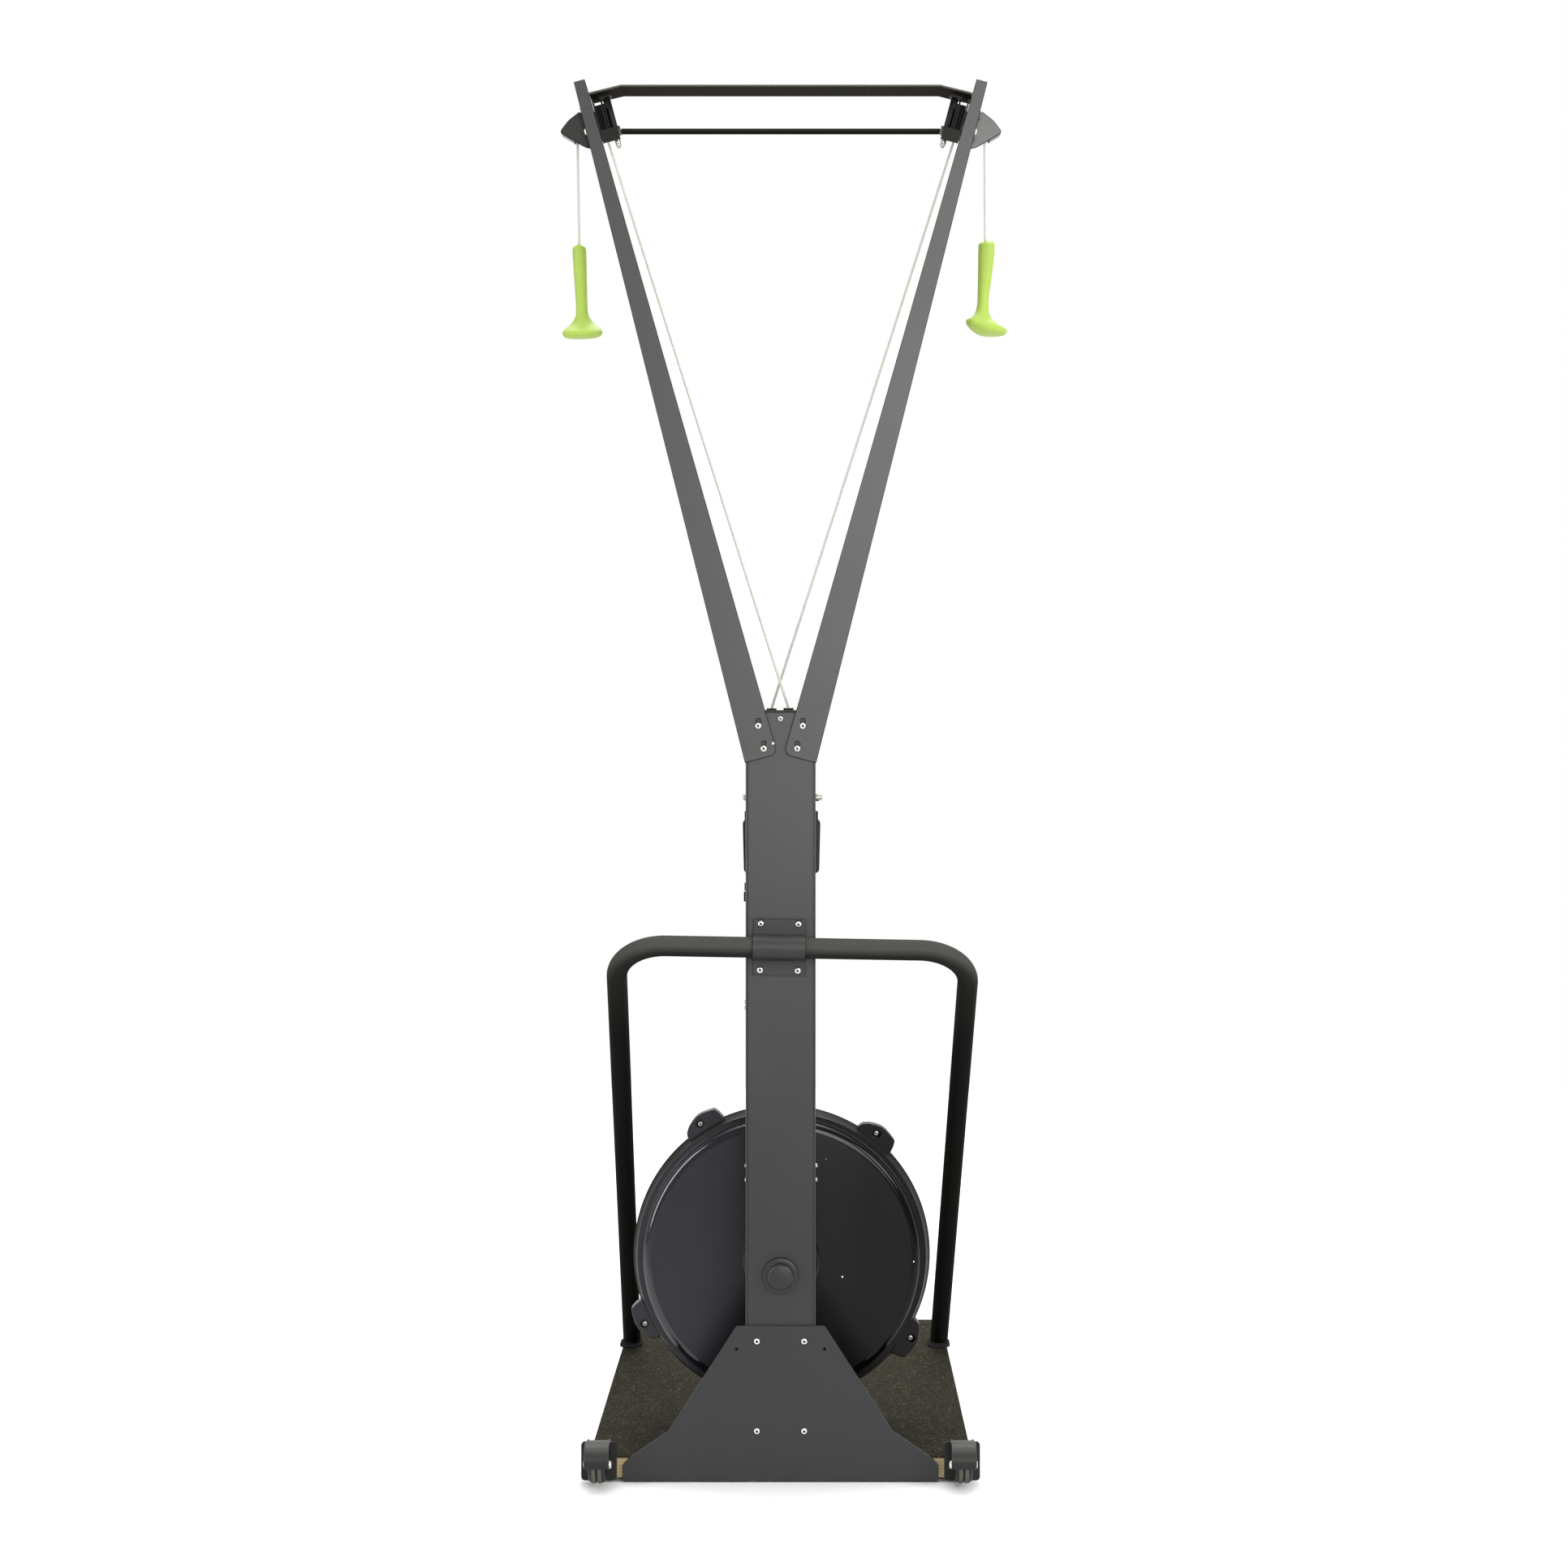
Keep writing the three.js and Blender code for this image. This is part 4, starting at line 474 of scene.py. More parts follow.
def prism(bm, points, axis, low, high, matrix=Matrix()):
    """Draws an outline out along an axis: (y, z) points for x, (x, z) for y, (x, y) for z."""
    to = PLANES[axis]
    skinned(bm, [[bm.verts.new(matrix @ Vector(to(u, v, w))) for u, v in points] for w in (low, high)])
    return bm


def block(bm, low, high, matrix=Matrix()):
    (x0, y0, z0), (x1, y1, z1) = low, high
    return prism(bm, [(x0, y0), (x1, y0), (x1, y1), (x0, y1)], "z", z0, z1, matrix)


def rounded(x0, x1, z0, z1, r):
    """A rectangle's outline with rounded corners."""
    corners = ((x1 - r, z1 - r), (x0 + r, z1 - r), (x0 + r, z0 + r), (x1 - r, z0 + r))
    return [p for i, corner in enumerate(corners) for p in arc(corner, r, 90 * i, 90 * i + 90, 6)]


def eased(points, reach):
    """A closed line with each corner rounded, from reach before it to reach after it."""
    out = []
    for i, here in enumerate(map(Vector, points)):
        ways = [Vector(p) - here for p in (points[i - 1], points[(i + 1) % len(points)])]
        a, b = [here + way.normalized() * min(reach, way.length * 0.45) for way in ways]
        for step in range(6):
            t = step / 5
            out.append(tuple(a * (1 - t) ** 2 + here * (2 * t * (1 - t)) + b * t * t))
    return out


def skinned(bm, rings, closed=False, caps=True):
    """Faces from each ring of points to the next, and over the ends of an open piece."""
    count = len(rings[0])
    for a, b in zip(rings, rings[1:] + rings[:1] if closed else rings[1:]):
        shift = 0
        if a is rings[-1]:
            shift = min(range(count), key=lambda s: (a[0].co - b[s].co).length)
        for k in range(count):
            n = (k + 1) % count
            bm.faces.new((a[k], a[n], b[(n + shift) % count], b[(k + shift) % count]))
    if caps and not closed:
        bm.faces.new(rings[0][::-1])
        bm.faces.new(rings[-1])


def sweep(bm, points, radius, segments, closed=False, radius_at=None, caps=True):
    """A round bar along points."""
    points = [Vector(p) for p in points]
    before = points[-1:] if closed else points[:1]
    after = points[:1] if closed else points[-1:]
    tangents = [(b - a).normalized() for a, b in zip(before + points, points[1:] + after)]
    side = tangents[0].orthogonal().normalized()
    rings = []
    for i, (point, tangent) in enumerate(zip(points, tangents)):
        side = (side - tangent * side.dot(tangent)).normalized()
        other = tangent.cross(side)
        ring = []
        for angle in turns(segments):
            r = radius_at(i, angle) if radius_at else radius
            ring.append(bm.verts.new(point + side * (r * cos(angle)) + other * (r * sin(angle))))
        rings.append(ring)
    skinned(bm, rings, closed, caps)
    return rings


def bent(corners, radius, steps):
    """The points of a bent line: its corners, each rounded by an arc."""
    corners = [Vector(c) for c in corners]
    points = [corners[0]]
    for before, here, after in zip(corners, corners[1:], corners[2:]):
        a, b = (before - here).normalized(), (after - here).normalized()
        half = a.angle(b) / 2
        centre = here + (a + b).normalized() * (radius / sin(half))
        start = here + a * (radius / tan(half)) - centre
        end = here + b * (radius / tan(half)) - centre
        turn = start.angle(end)
        for i in range(steps + 1):
            t = i / steps
            points.append(centre + start * (sin((1 - t) * turn) / sin(turn))
                          + end * (sin(t * turn) / sin(turn)))
    points.append(corners[-1])
    return points


def resampled(points, step):
    """The same line with points no further apart than step."""
    out = [Vector(points[0])]
    for a, b in zip(points, points[1:]):
        a, b = Vector(a), Vector(b)
        count = max(1, ceil((b - a).length / step))
        out += [a.lerp(b, i / count) for i in range(1, count + 1)]
    return out


SHANK = 3.0
# Radius and height of a bolt's head, and half its socket
HEADS = Sizes(cap=(4, 2.6, 1.5), side=(4, 3.4, 1.5), arm=(4.4, 2.8, 1.8), axle=(6.3, 4, 2.4), lug=(4, 3, 1.7),
              cross=(5.2, 5, 2.2), frame=(5, 3.2, 1.9))
# Half a nut's width, its height and its bore
NUTS = Sizes(lug=(4.6, 4, 2.6), cross=(5.6, 5, 4.5))


def hex_radius(angle, flat):
    return flat / cos((angle + pi / 6) % (pi / 3) - pi / 6)


def button_head(bm, at, axis, head, length=0.0):
    """A button-head bolt with a hexagon socket, its head's seat at a place and its head along an axis."""
    radius, height, socket = head
    profile = [(-length, 0), (-length, SHANK), (0, SHANK)] if length else [(0, 0)]
    profile += [(0, radius), (height * 0.22, radius)]
    for i in range(1, 6):
        t = radians(15 * i)
        reach = socket * 1.2 + (radius - socket * 1.2) * cos(t)
        profile.append((height * (0.22 + 0.78 * sin(t)), reach))
    profile += [(height, socket * 1.15), (height * 0.94, socket), (height * 0.35, socket), (height * 0.3, 0)]
    # The socket's inside takes the second material, which in fasteners is near-black painted shade.
    inside = (len(profile) - 2, len(profile) - 3)
    lathe(bm, profile, facing(axis, at), 24,
          lambda i, angle, r: hex_radius(angle, r) if i in inside else r, inside)


def nut_shape(flat):
    """A hexagon with its corners turned off, for lathe's radius_at."""
    return lambda i, angle, r: min(hex_radius(angle, flat), r * 1.1) if 0 < i < 5 else r


def hex_nut(bm, at, axis, flat, height, bore):
    profile = [(0, bore), (0, flat * 0.95), (height * 0.1, flat), (height * 0.9, flat),
               (height, flat * 0.98), (height, bore)]
    lathe(bm, profile, facing(axis, at), 36, nut_shape(flat))


# Cords. Each route repeats the points of its solid.

PULLEY = Sizes(x=297.005, z=2093, line=21)
CORD_Y = 60.5
CORD_R = 2.0
DRUM = Sizes(line=18, z=318)
CAP_TOP = 1188.3
EYELET_RISE = 3.5
ARC_STEPS = 24
CORD_STEP = 40
ENTRIES = {"left": (12, 25.5), "right": (-15, 74.5)}
HANDLE = {"left": (-315.005, 1915), "right": (319.005, 1921)}


def drive_route(side, entry):
    """From the pulley's outer side over it, down through the cap and half round the drum."""
    centre = Vector((side * PULLEY.x, CORD_Y, PULLEY.z))
    top = Vector((*entry, CAP_TOP + EYELET_RISE))
    flat = Vector((side * (top.x - centre.x), top.z - centre.z))
    lean = atan2(-flat.x, -flat.y) + asin(PULLEY.line / flat.length)
    points = []
    for i in range(ARC_STEPS + 1):
        angle = (pi - lean) * i / ARC_STEPS
        points.append(Vector((centre.x + side * PULLEY.line * cos(angle), CORD_Y,
                              centre.z + PULLEY.line * sin(angle))))
    low = Vector((-DRUM.line, entry[1], DRUM.z))
    points += bent([points[-1], top, low], 48, 10)[1:-1] + [low]
    for i in range(1, ARC_STEPS + 1):
        angle = pi * i / ARC_STEPS
        points.append(Vector((-DRUM.line * cos(angle), entry[1], DRUM.z - DRUM.line * sin(angle))))
    return points


def cord_line(name, path, replaces):
    """A cord along a path, and the path in the row frame."""
    bm = bmesh.new()
    sweep(bm, path, CORD_R, 12)
    return made(name, bm, "cord", replaces), [ROW @ p for p in path]


for name, side in SIDES:
    path = resampled(drive_route(side, ENTRIES[name]), CORD_STEP)
    piece, line = cord_line(f"drive_line_{name}", path, f"drive_cord_{name}")
    x, z = HANDLE[name]
    top = Vector((side * (PULLEY.x + PULLEY.line), CORD_Y, PULLEY.z - 0.3))
    path = resampled([top, Vector((x, CORD_Y, z + 0.3))], 3)
    piece, line = cord_line(f"hanging_line_{name}", path, f"hanging_cord_{name}")
    world = piece.matrix_world.copy()
    piece.parent = None
    piece.matrix_world = world
    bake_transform(piece)

RETURN = Sizes(z=1053, radius=15.5, y=50, drum=15.7 + 2.5, cord=2.5)
path = [Vector((RETURN.drum, RETURN.y - RETURN.radius, DRUM.z))]
for i in range(ARC_STEPS + 1):
    angle = pi * (1 - i / ARC_STEPS)
    path.append(Vector((0, RETURN.y + RETURN.radius * cos(angle), RETURN.z + RETURN.radius * sin(angle))))
path.append(Vector((RETURN.drum, RETURN.y + RETURN.radius, DRUM.z)))
path = resampled(path, CORD_STEP)
bm = bmesh.new()
sweep(bm, path, RETURN.cord, 12)
made("return_line", bm, "elastic", "return_cord")


# Frame: solids that carry over, with their finish

# The arms, the hoop clamp and the base plate get near-black softened edges: painted shade along their
# outlines.
for name, side in SIDES:
    dressed(f"arm_{name}", "frame", 0.75, "line", full=True)
    dressed(f"head_bracket_{name}", "edge", 0.4)
    dressed(f"hoop_foot_{name}", "hoop", 0.8)
dressed("hoop_clamp", "clamp", 1.1, "line")
dressed("base_plate", "base", 0.7, "line")
dressed("column", "column", 1.0)
dressed("column_cap", "lid", 0.5)
dressed("top_crossbar", "bar", 1.2)
dressed("lower_crossbar", "thin_bar", 0.5)
dressed("platform_board", "wood", 0.8)
for end in ("rear", "front"):
    dressed(f"foot_strip_{end}", "rubber", 1.0)
dressed("monitor_mount", "black", 0.5)
dressed("monitor_case", "black", 1.6, segments=3)
dressed("monitor_screen", "screen", 0.4)
dressed("fan_wheel", "fan", 0.5)

# The mat between two corners
MAT = ((-294.4, -0.2, 36.8), (294.4, 1036.4, 39.8))
made("grip_mat", block(bmesh.new(), *MAT), "mat", "platform_mat", bevel=0.8)


# Bolts

ARM_BOLTS = [(34.3, 1164), (25.8, 1129)]
BASE_BOLTS = [(-36.4, 217), (-36.4, 79), (36.4, 217), (36.4, 79)]
HOOP = Sizes(tube=16, bar_z=823, left=253, right=291, foot_x=280, foot_y=812, foot_top=45.4, bend=78,
             fall=4.7)
HOOP_LEAN = atan2(2 * HOOP.fall, HOOP.left + HOOP.right)
CLAMP = Sizes(x=-2, bolt_x=29, rise=35.5)
CLAMP_Z = HOOP.bar_z - (CLAMP.x - (HOOP.right - HOOP.left) / 2) * tan(HOOP_LEAN)
NUT_PLATE = Sizes(back=3.3, front=7.3, beyond=7)
# The thin disc of painted shade in a slot: its radius, its rise above the bolt and its thickness
SLOT_SHADE = Sizes(radius=4.4, rise=3, height=0.3)


def clamp_turn(x, rise):
    return (CLAMP.x + x * cos(HOOP_LEAN) + rise * sin(HOOP_LEAN),
            CLAMP_Z + rise * cos(HOOP_LEAN) - x * sin(HOOP_LEAN))


def bolt_group(name, replaces, places, head_y=-3.6, slots_below=0.0):
    """Bolts at (x, z) places, with their nut plate inside the column. Those below a height sit in slots, each
    shown by a thin near-black disc above the head: painted shade inside the slot.
    """
    bm = bmesh.new()
    for x, z in places:
        button_head(bm, (x, head_y, z), BACK, HEADS.frame, 7)
        if z < slots_below:
            # A thin near-black disc where the slot opens above the head: painted shade.
            slot_shade = [(0, 0), (0, SLOT_SHADE.radius), (SLOT_SHADE.height, SLOT_SHADE.radius - 0.1), (SLOT_SHADE.height, 0)]
            lathe(bm, slot_shade, facing(BACK, (x, head_y + 0.1, z + SLOT_SHADE.rise)), 24, second=(0, 1, 2))
    xs, zs = zip(*places)
    beyond = NUT_PLATE.beyond
    block(bm, (min(xs) - beyond, NUT_PLATE.back, min(zs) - beyond),
          (max(xs) + beyond, NUT_PLATE.front, max(zs) + beyond))
    fasteners(name, bm, replaces)


for name, side in SIDES:
    bolt_group(f"arm_fasteners_{name}", f"arm_bolts_{name}", [(side * x, z) for x, z in ARM_BOLTS],
               slots_below=CAP_TOP)
clamp_places = [clamp_turn(x * CLAMP.bolt_x, z * CLAMP.rise) for x in (-1, 1) for z in (-1, 1)]
bolt_group("clamp_fasteners", "clamp_bolts", clamp_places, slots_below=CLAMP_Z)
bolt_group("base_fasteners", "base_bolts", BASE_BOLTS, head_y=-4.6)

# Small fasteners on the column that have no solid of their own
CAP_SCREW = (0, -0.1, 1175)
RIVET = (-12, -3.4, 1137)
SIDE_SCREW = Sizes(x=54, y=85)
SIDE_SCREWS = {"left": (731, 722, 474, 452), "right": (474, 452)}
bm = bmesh.new()
button_head(bm, CAP_SCREW, BACK, HEADS.cap)
lathe(bm, [(0, 0), (0, 2.2), (0.8, 1.9), (1.3, 0)], facing(BACK, RIVET), 20)
fasteners("column_screws", bm, bevel=0.1)
bm = bmesh.new()
for name, side in SIDES:
    for z in SIDE_SCREWS[name]:
        button_head(bm, (side * SIDE_SCREW.x, SIDE_SCREW.y, z), (side, 0, 0), HEADS.side)
fasteners("column_side_screws", bm, material="stud", bevel=0.1)


# Hoop brace

bar_y = -(HOOP.tube + 0.3)
feet = [Vector((side * HOOP.foot_x, HOOP.foot_y, HOOP.foot_top)) for _, side in SIDES]
reach = Vector((0, HOOP.foot_y - bar_y, HOOP.foot_top - HOOP.bar_z))
beyond = reach * (HOOP.tube * 3 / reach.length)
hoop_corners = [
    feet[0] + beyond,
    Vector((-HOOP.left, bar_y, HOOP.bar_z + HOOP.fall)),
    Vector((HOOP.right, bar_y, HOOP.bar_z - HOOP.fall)),
    feet[1] + beyond,
]
path = bent(hoop_corners, HOOP.bend, 28)
bm = bmesh.new()
rings = sweep(bm, path, HOOP.tube, 48, caps=False)
for ring, inner in ((rings[0], rings[1]), (rings[-1], rings[-2])):
    for a, b in zip(ring, inner):
        a.co = b.co.lerp(a.co, (HOOP.foot_top - b.co.z) / (a.co.z - b.co.z))
bm.faces.new(rings[0][::-1])
bm.faces.new(rings[-1])
made("hoop_tube", bm, "hoop", "hoop_brace", sharp=50)

WELD = Sizes(step_out=0.6, radius=2.2, wave=0.5, rough=0.3)


def weld_radius(i, angle):
    """Waves along the bead, three steps long, with a little noise."""
    wave = WELD.wave * sin(i * pi * 2 / 3)
    return WELD.radius + wave + WELD.rough * noise.noise((i * 0.9, 0, 3))


for (name, side), foot in zip(SIDES, feet):
    ends = hoop_corners[:2] if side < 0 else hoop_corners[:1:-1]
    direction = (ends[1] - ends[0]).normalized()
    u = direction.orthogonal().normalized()
    v = direction.cross(u)
    bead = []
    for angle in turns(72):
        p = foot + (u * (HOOP.tube * cos(angle)) + v * (HOOP.tube * sin(angle)))
        p -= direction * ((p.z - foot.z) / direction.z)
        bead.append(p + Vector((0, 0, WELD.step_out)))
    bm = bmesh.new()
    sweep(bm, bead, WELD.radius, 10, closed=True, radius_at=weld_radius)
    made(f"foot_weld_{name}", bm, "hoop", sharp=80)


# Pulley heads. A head's own frame has u inwards, square to the arm, and w up along it.

LEAN = radians(15.0331)


def head_matrix(side):
    """From (u, y, w) to the working frame."""
    u = Vector((-side * cos(LEAN), 0, sin(LEAN)))
    w = Vector((side * sin(LEAN), 0, cos(LEAN)))
    m = Matrix.Identity(4)
    m.col[0][:3], m.col[1][:3], m.col[2][:3] = u, (0, 1, 0), w
    return Matrix.Translation((side * PULLEY.x, 0, PULLEY.z)) @ m


ROLLER = Sizes(u=37.09, y=12, r=5.8, low=-17.2, high=29.7, bore=2.9, end=5.2)
FLANGE = 24
# The cover's outline in flange radii: outwards and up from the pulley's middle
COVER_SHARES = [(0.05, 1.2), (0.64, 1.16), (1.42, 0.55), (1.69, 0.19), (1.9, -0.08), (1.9, -0.28),
                (0.82, -0.92), (0.33, -1.2), (-0.04, -1.3), (-0.45, -1.22)]
COVER = Sizes(face=44, seam=46, front=46.5, far=70, wall=2.5, arm=313, cord_gap=5)
# For each bolt across the arm: its place along it, the arm's outer face there, and its length
HEAD_BOLTS = ((24.5, -5.68, 17.7), (-10.2, -6.23, 26))
# Blocks between two corners in the head's own frame: the panel, near-black for painted shade, the edges of
# the plates behind it, and the plate that takes the bolts
PANEL = ((17.1, -2.4, -17.3), (31.1, -0.4, 21.5))
PLATE_EDGES = (((26.3, -3.2, -17.3), (28.1, -0.6, 21.5)), ((30, -3.2, -17.3), (31.8, -0.6, 21.5)),
               ((28.5, -2.8, 27), (33.5, 0, 29.9)))
HEAD_NUTS = ((17.1, 4, -13.7), (21.1, 18, 20))

for name, side in SIDES:
    head = head_matrix(side)
    pin = head @ Matrix.Translation((ROLLER.u, ROLLER.y, 0))
    profile = [(ROLLER.low, ROLLER.bore), (ROLLER.low, ROLLER.end), (ROLLER.low + 0.8, ROLLER.r),
               (ROLLER.high - 0.8, ROLLER.r), (ROLLER.high, ROLLER.end), (ROLLER.high, ROLLER.bore)]
    bm = lathe(bmesh.new(), profile, pin, 40)
    made(f"side_roller_{name}", bm, "roller", f"guide_roller_{name}", f"roller_{name}")

    # The roller's stud, with a sleeve and a nut below it
    stud = [(-47.8, 0), (-47.8, 2.1), (-47.1, 2.5), (32.8, 2.5), (32.8, 4.2), (34, 4.2), (35.8, 2.4),
            (35.8, 0)]
    sleeve = [(-41, 2.5), (-41, 4.1), (-40.6, 4.2), (-20.7, 4.2), (-20.3, 4.1), (-20.3, 2.5)]
    nut = [(-44.8, 2.5), (-44.8, 3.9), (-44.4, 4.2), (-41.2, 4.2), (-40.9, 3.9), (-40.9, 2.5)]
    bm = lathe(bmesh.new(), stud, pin, 24)
    lathe(bm, sleeve, pin, 36)
    lathe(bm, nut, pin, 36, nut_shape(4))
    made(f"roller_stud_{name}", bm, "stud", f"roller_pin_{name}")

    # Panel in the channel's front, near-black for painted shade, with the edges of two plates behind it
    bm = block(bmesh.new(), *PANEL, head)
    made(f"head_panel_{name}", bm, "panel", bevel=0.3)
    bm = bmesh.new()
    for corners in PLATE_EDGES:
        block(bm, *corners, head)
    made(f"head_ribs_{name}", bm, "edge", bevel=0.3)

    # Pulley with a groove, a hub and lightening pockets
    floor = PULLEY.line - CORD_R - 0.3
    half = [(5.5, 4.3), (5.5, 9), (3.5, 9.5), (3.5, 15), (5.5, 16), (5.5, FLANGE), (4.9, FLANGE),
            (2.1, floor + 0.4), (0, floor - 0.1)]
    bm = lathe(bmesh.new(), mirrored(half, CORD_Y), facing(FRONT, (side * PULLEY.x, 0, PULLEY.z)), 72)
    made(f"cord_pulley_{name}", bm, "black", f"pulley_{name}", f"pulley_{name}")

    # Cover: a face with a rolled edge and a rim that stops at the arm and round the cord
    cx, cz = side * PULLEY.x, PULLEY.z
    loop = eased([(cx + side * o * FLANGE, cz + w * FLANGE) for o, w in COVER_SHARES], 5)
    bm = prism(bmesh.new(), loop, "y", COVER.face, COVER.front)
    cord_x = abs(HANDLE[name][0])
    centre = Vector((cx + side * 8, cz - 4))

    def has_rim(p):
        at_cord = p[1] < cz and abs(abs(p[0]) - cord_x) < COVER.cord_gap
        return abs(p[0]) > COVER.arm and not at_cord

    for rimmed, run in groupby(resampled(loop + loop[:1], 2), has_rim):
        run = list(run)
        if rimmed and len(run) > 1:
            inner = [p + (centre - p).normalized() * COVER.wall for p in run]
            prism(bm, run + inner[::-1], "y", COVER.seam, COVER.far)
    # The cover's softened edges take near-black: painted shade along its outline.
    made(f"cord_cover_{name}", bm, "cover", f"pulley_cover_{name}", bevel=1.1, segments=3,
         second="line", shade_lined=True)

    # Bolts across the arm, and the plate that takes them
    bm = bmesh.new()
    for w, face, length in HEAD_BOLTS:
        seat = head @ Vector((face, 11.7, w))
        button_head(bm, seat, head.to_3x3() @ Vector(LEFT), HEADS.arm, length)
    fasteners(f"head_fasteners_{name}", bm, f"head_bolts_{name}")
    bm = block(bmesh.new(), *HEAD_NUTS, head)
    made(f"nut_plate_{name}", bm, "edge", bevel=0.3)


# Transport wheels

CASTER = Sizes(x=279.5, y=-34.3, z=35, fork=17.5, cheek=2.5, inner=31, outer=34)
# Half the wheel, from its hub to the groove round its middle
WHEEL = [(12.4, 4.3), (12.4, 8.8), (11.2, 9.5), (11.2, 18.8), (13, 19.5), (13, 22.4), (12.2, 24.4),
         (10.8, 25.8), (8, 26.6), (7.4, 27.7), (1.8, 28), (1.4, 26.2), (0, 26.2)]
# The two stretches of the whole profile with the lighter tread
TREAD_PART = (9, 14)
# Heights of the ribs across the lip, over the wheel's axle
LIP_RIBS = (2.4, 6.4, 10.4)

for name, side in SIDES:
    x, y, z = side * CASTER.x, CASTER.y, CASTER.z
    inner, outer, fork = CASTER.inner, CASTER.outer, CASTER.fork
    here = Matrix.Translation((x, 0, 0))
    across = facing(RIGHT, (x, y, z))
    profile = mirrored(WHEEL)
    dark = [i for i in range(len(profile)) if i not in TREAD_PART]
    bm = lathe(bmesh.new(), profile, across, 72, second=dark)
    made(f"road_wheel_{name}", bm, "tread", f"caster_wheel_{name}", f"wheel_{name}",
         bevel=0.2, second="side")

    bm = prism(bmesh.new(), rounded(-27.5, 27.5, 2.5, 62.6, 6), "y", -3.3, -0.3, here)
    cheek = ([(-1.3, z - 9), (-1.3, z + inner)] + arc((y, z), inner + 1, 90, 168, 16)
             + [(y - 9, z + 4)] + arc((y, z), 9, 180, 270, 8))
    for end in (-1, 1):
        prism(bm, cheek, "x", *sorted((end * fork, end * (fork - CASTER.cheek))), here)
    made(f"wheel_fork_{name}", bm, "black", f"caster_bracket_{name}", bevel=0.5)

    guard = arc((y, z), outer, 175, 94, 24) + [(-3.4, 65), (-3.4, 62)] + arc((y, z), inner, 94, 175, 24)
    bm = prism(bmesh.new(), guard, "x", -fork - 1.6, fork + 1.6, here)
    made(f"wheel_guard_{name}", bm, "caster", bevel=1.2, segments=3)

    lip = [(y - outer - 0.8, z + 1), (y - outer - 1.8, z + 6), (y - outer - 0.4, z + 13.5),
           (y - inner, z + 13), (y - inner - 0.2, z + 1)]
    bm = prism(bmesh.new(), lip, "x", -fork - 0.4, fork + 0.4, here)
    for rib in LIP_RIBS:
        rib_y = y - outer - 1.3 + (rib - LIP_RIBS[1]) ** 2 * 0.02
        lathe(bm, mirrored([(fork - 1, 0), (fork - 1, 0.9)]), facing(RIGHT, (x, rib_y, z + rib)), 12)
    made(f"wheel_lip_{name}", bm, "side", bevel=0.5)

    seat = fork + 0.3
    bm = lathe(bmesh.new(), mirrored([(seat, 0), (seat, 4)]), across, 24)
    for end in (-side, side):
        button_head(bm, (x + end * seat, y, z), (end, 0, 0), HEADS.axle)
    fasteners(f"wheel_axle_{name}", bm, f"caster_axle_{name}")


# Flywheel housing

SHAFT = (0, 0, DRUM.z)
AXIS = facing(FRONT, SHAFT)
LUG_ANGLES = (52, 122, 207, 267, 327)
LUGS = [Matrix.Translation(SHAFT) @ Matrix.Rotation(-radians(a), 4, "Y") for a in LUG_ANGLES]
FACE = Sizes(y=140, rim=207)

rear = [(110.3, 14), (110.3, 58), (112.3, 60), (138, 60), (FACE.y, 62), (FACE.y, FACE.rim)]
for t in range(15, 91, 15):
    turn = radians(t)
    rear.append((FACE.y + 9 * (1 - cos(turn)), FACE.rim + 13 * sin(turn)))
rear += [(162, 221), (163, 222.5), (163.2, 229.3), (163, 230.5), (164.5, 231.2), (170, 231.8), (186, 236),
         (188.5, 238), (192, 238), (192, 231), (180, 227.5), (166, 226), (166, 217.5), (146, 217),
         (143, 207), (143, 14)]
bm = lathe(bmesh.new(), rear, AXIS, 160, second=(16, 17, 18, 19, 20), third=(5, 6, 7, 8))
made("shell_rear", bm, "shell", "housing_rear", bevel=0.5, sharp=30, second="rim",
     third="turned")


def evenly(points, count):
    """count points at even spacing round a closed outline."""
    closed = points + points[:1]
    lengths = [dist(a, b) for a, b in zip(closed, closed[1:])]
    out = []
    for k in range(count):
        left = sum(lengths) * k / count
        i = 0
        while left > lengths[i]:
            left -= lengths[i]
            i += 1
        (ax, ay), (bx, by) = closed[i], closed[i + 1]
        t = left / lengths[i]
        out.append((ax + (bx - ax) * t, ay + (by - ay) * t))
    return out


# A lug's outline and seat: out from the shaft, and along the rim. Both have the same number of points and
# start beside each other, so that they bridge into one face.
LUG_OUTLINE = [(231.5, 29.5), (240, 28.5), (245.9, 25.7), (251.5, 18.9), (256.7, 8.1), (259.3, 0),
               (259.8, -8), (258, -18), (254.7, -31.3), (246, -35), (236, -37), (231.5, -38)]
LUG = Sizes(bolt=246, seat=6.5, depth=6, points=72)
lug_seat = [(LUG.bolt + LUG.seat * cos(a), LUG.seat * sin(a)) for a in turns(LUG.points)]
lug_rim = evenly(LUG_OUTLINE, LUG.points)
nearest = min(range(LUG.points), key=lambda i: dist(lug_rim[i], lug_seat[0]))
lug_rim = lug_rim[nearest::-1] + lug_rim[:nearest:-1]


def lug_pieces(label, face_y, back_y):
    """Five lugs on one half of the housing, each with a sunk seat on its outer face."""
    bm = bmesh.new()
    sunk_y = face_y + copysign(LUG.depth, back_y - face_y)
    for m in LUGS:
        skinned(bm, [
            [bm.verts.new(m @ Vector((a, y, b))) for a, b in line]
            for y, line in ((back_y, lug_rim), (face_y, lug_rim), (face_y, lug_seat), (sunk_y, lug_seat))
        ])
    made(label, bm, "shell", bevel=2.2, segments=4, sharp=40)


lug_pieces("lugs_rear", 178, 192)
lug_pieces("lugs_front", 206.3, 192.3)

bm = bmesh.new()
for m in LUGS:
    button_head(bm, m @ Vector((LUG.bolt, 184, 0)), BACK, HEADS.lug)
    hex_nut(bm, m @ Vector((LUG.bolt, 200.3, 0)), FRONT, *NUTS.lug)
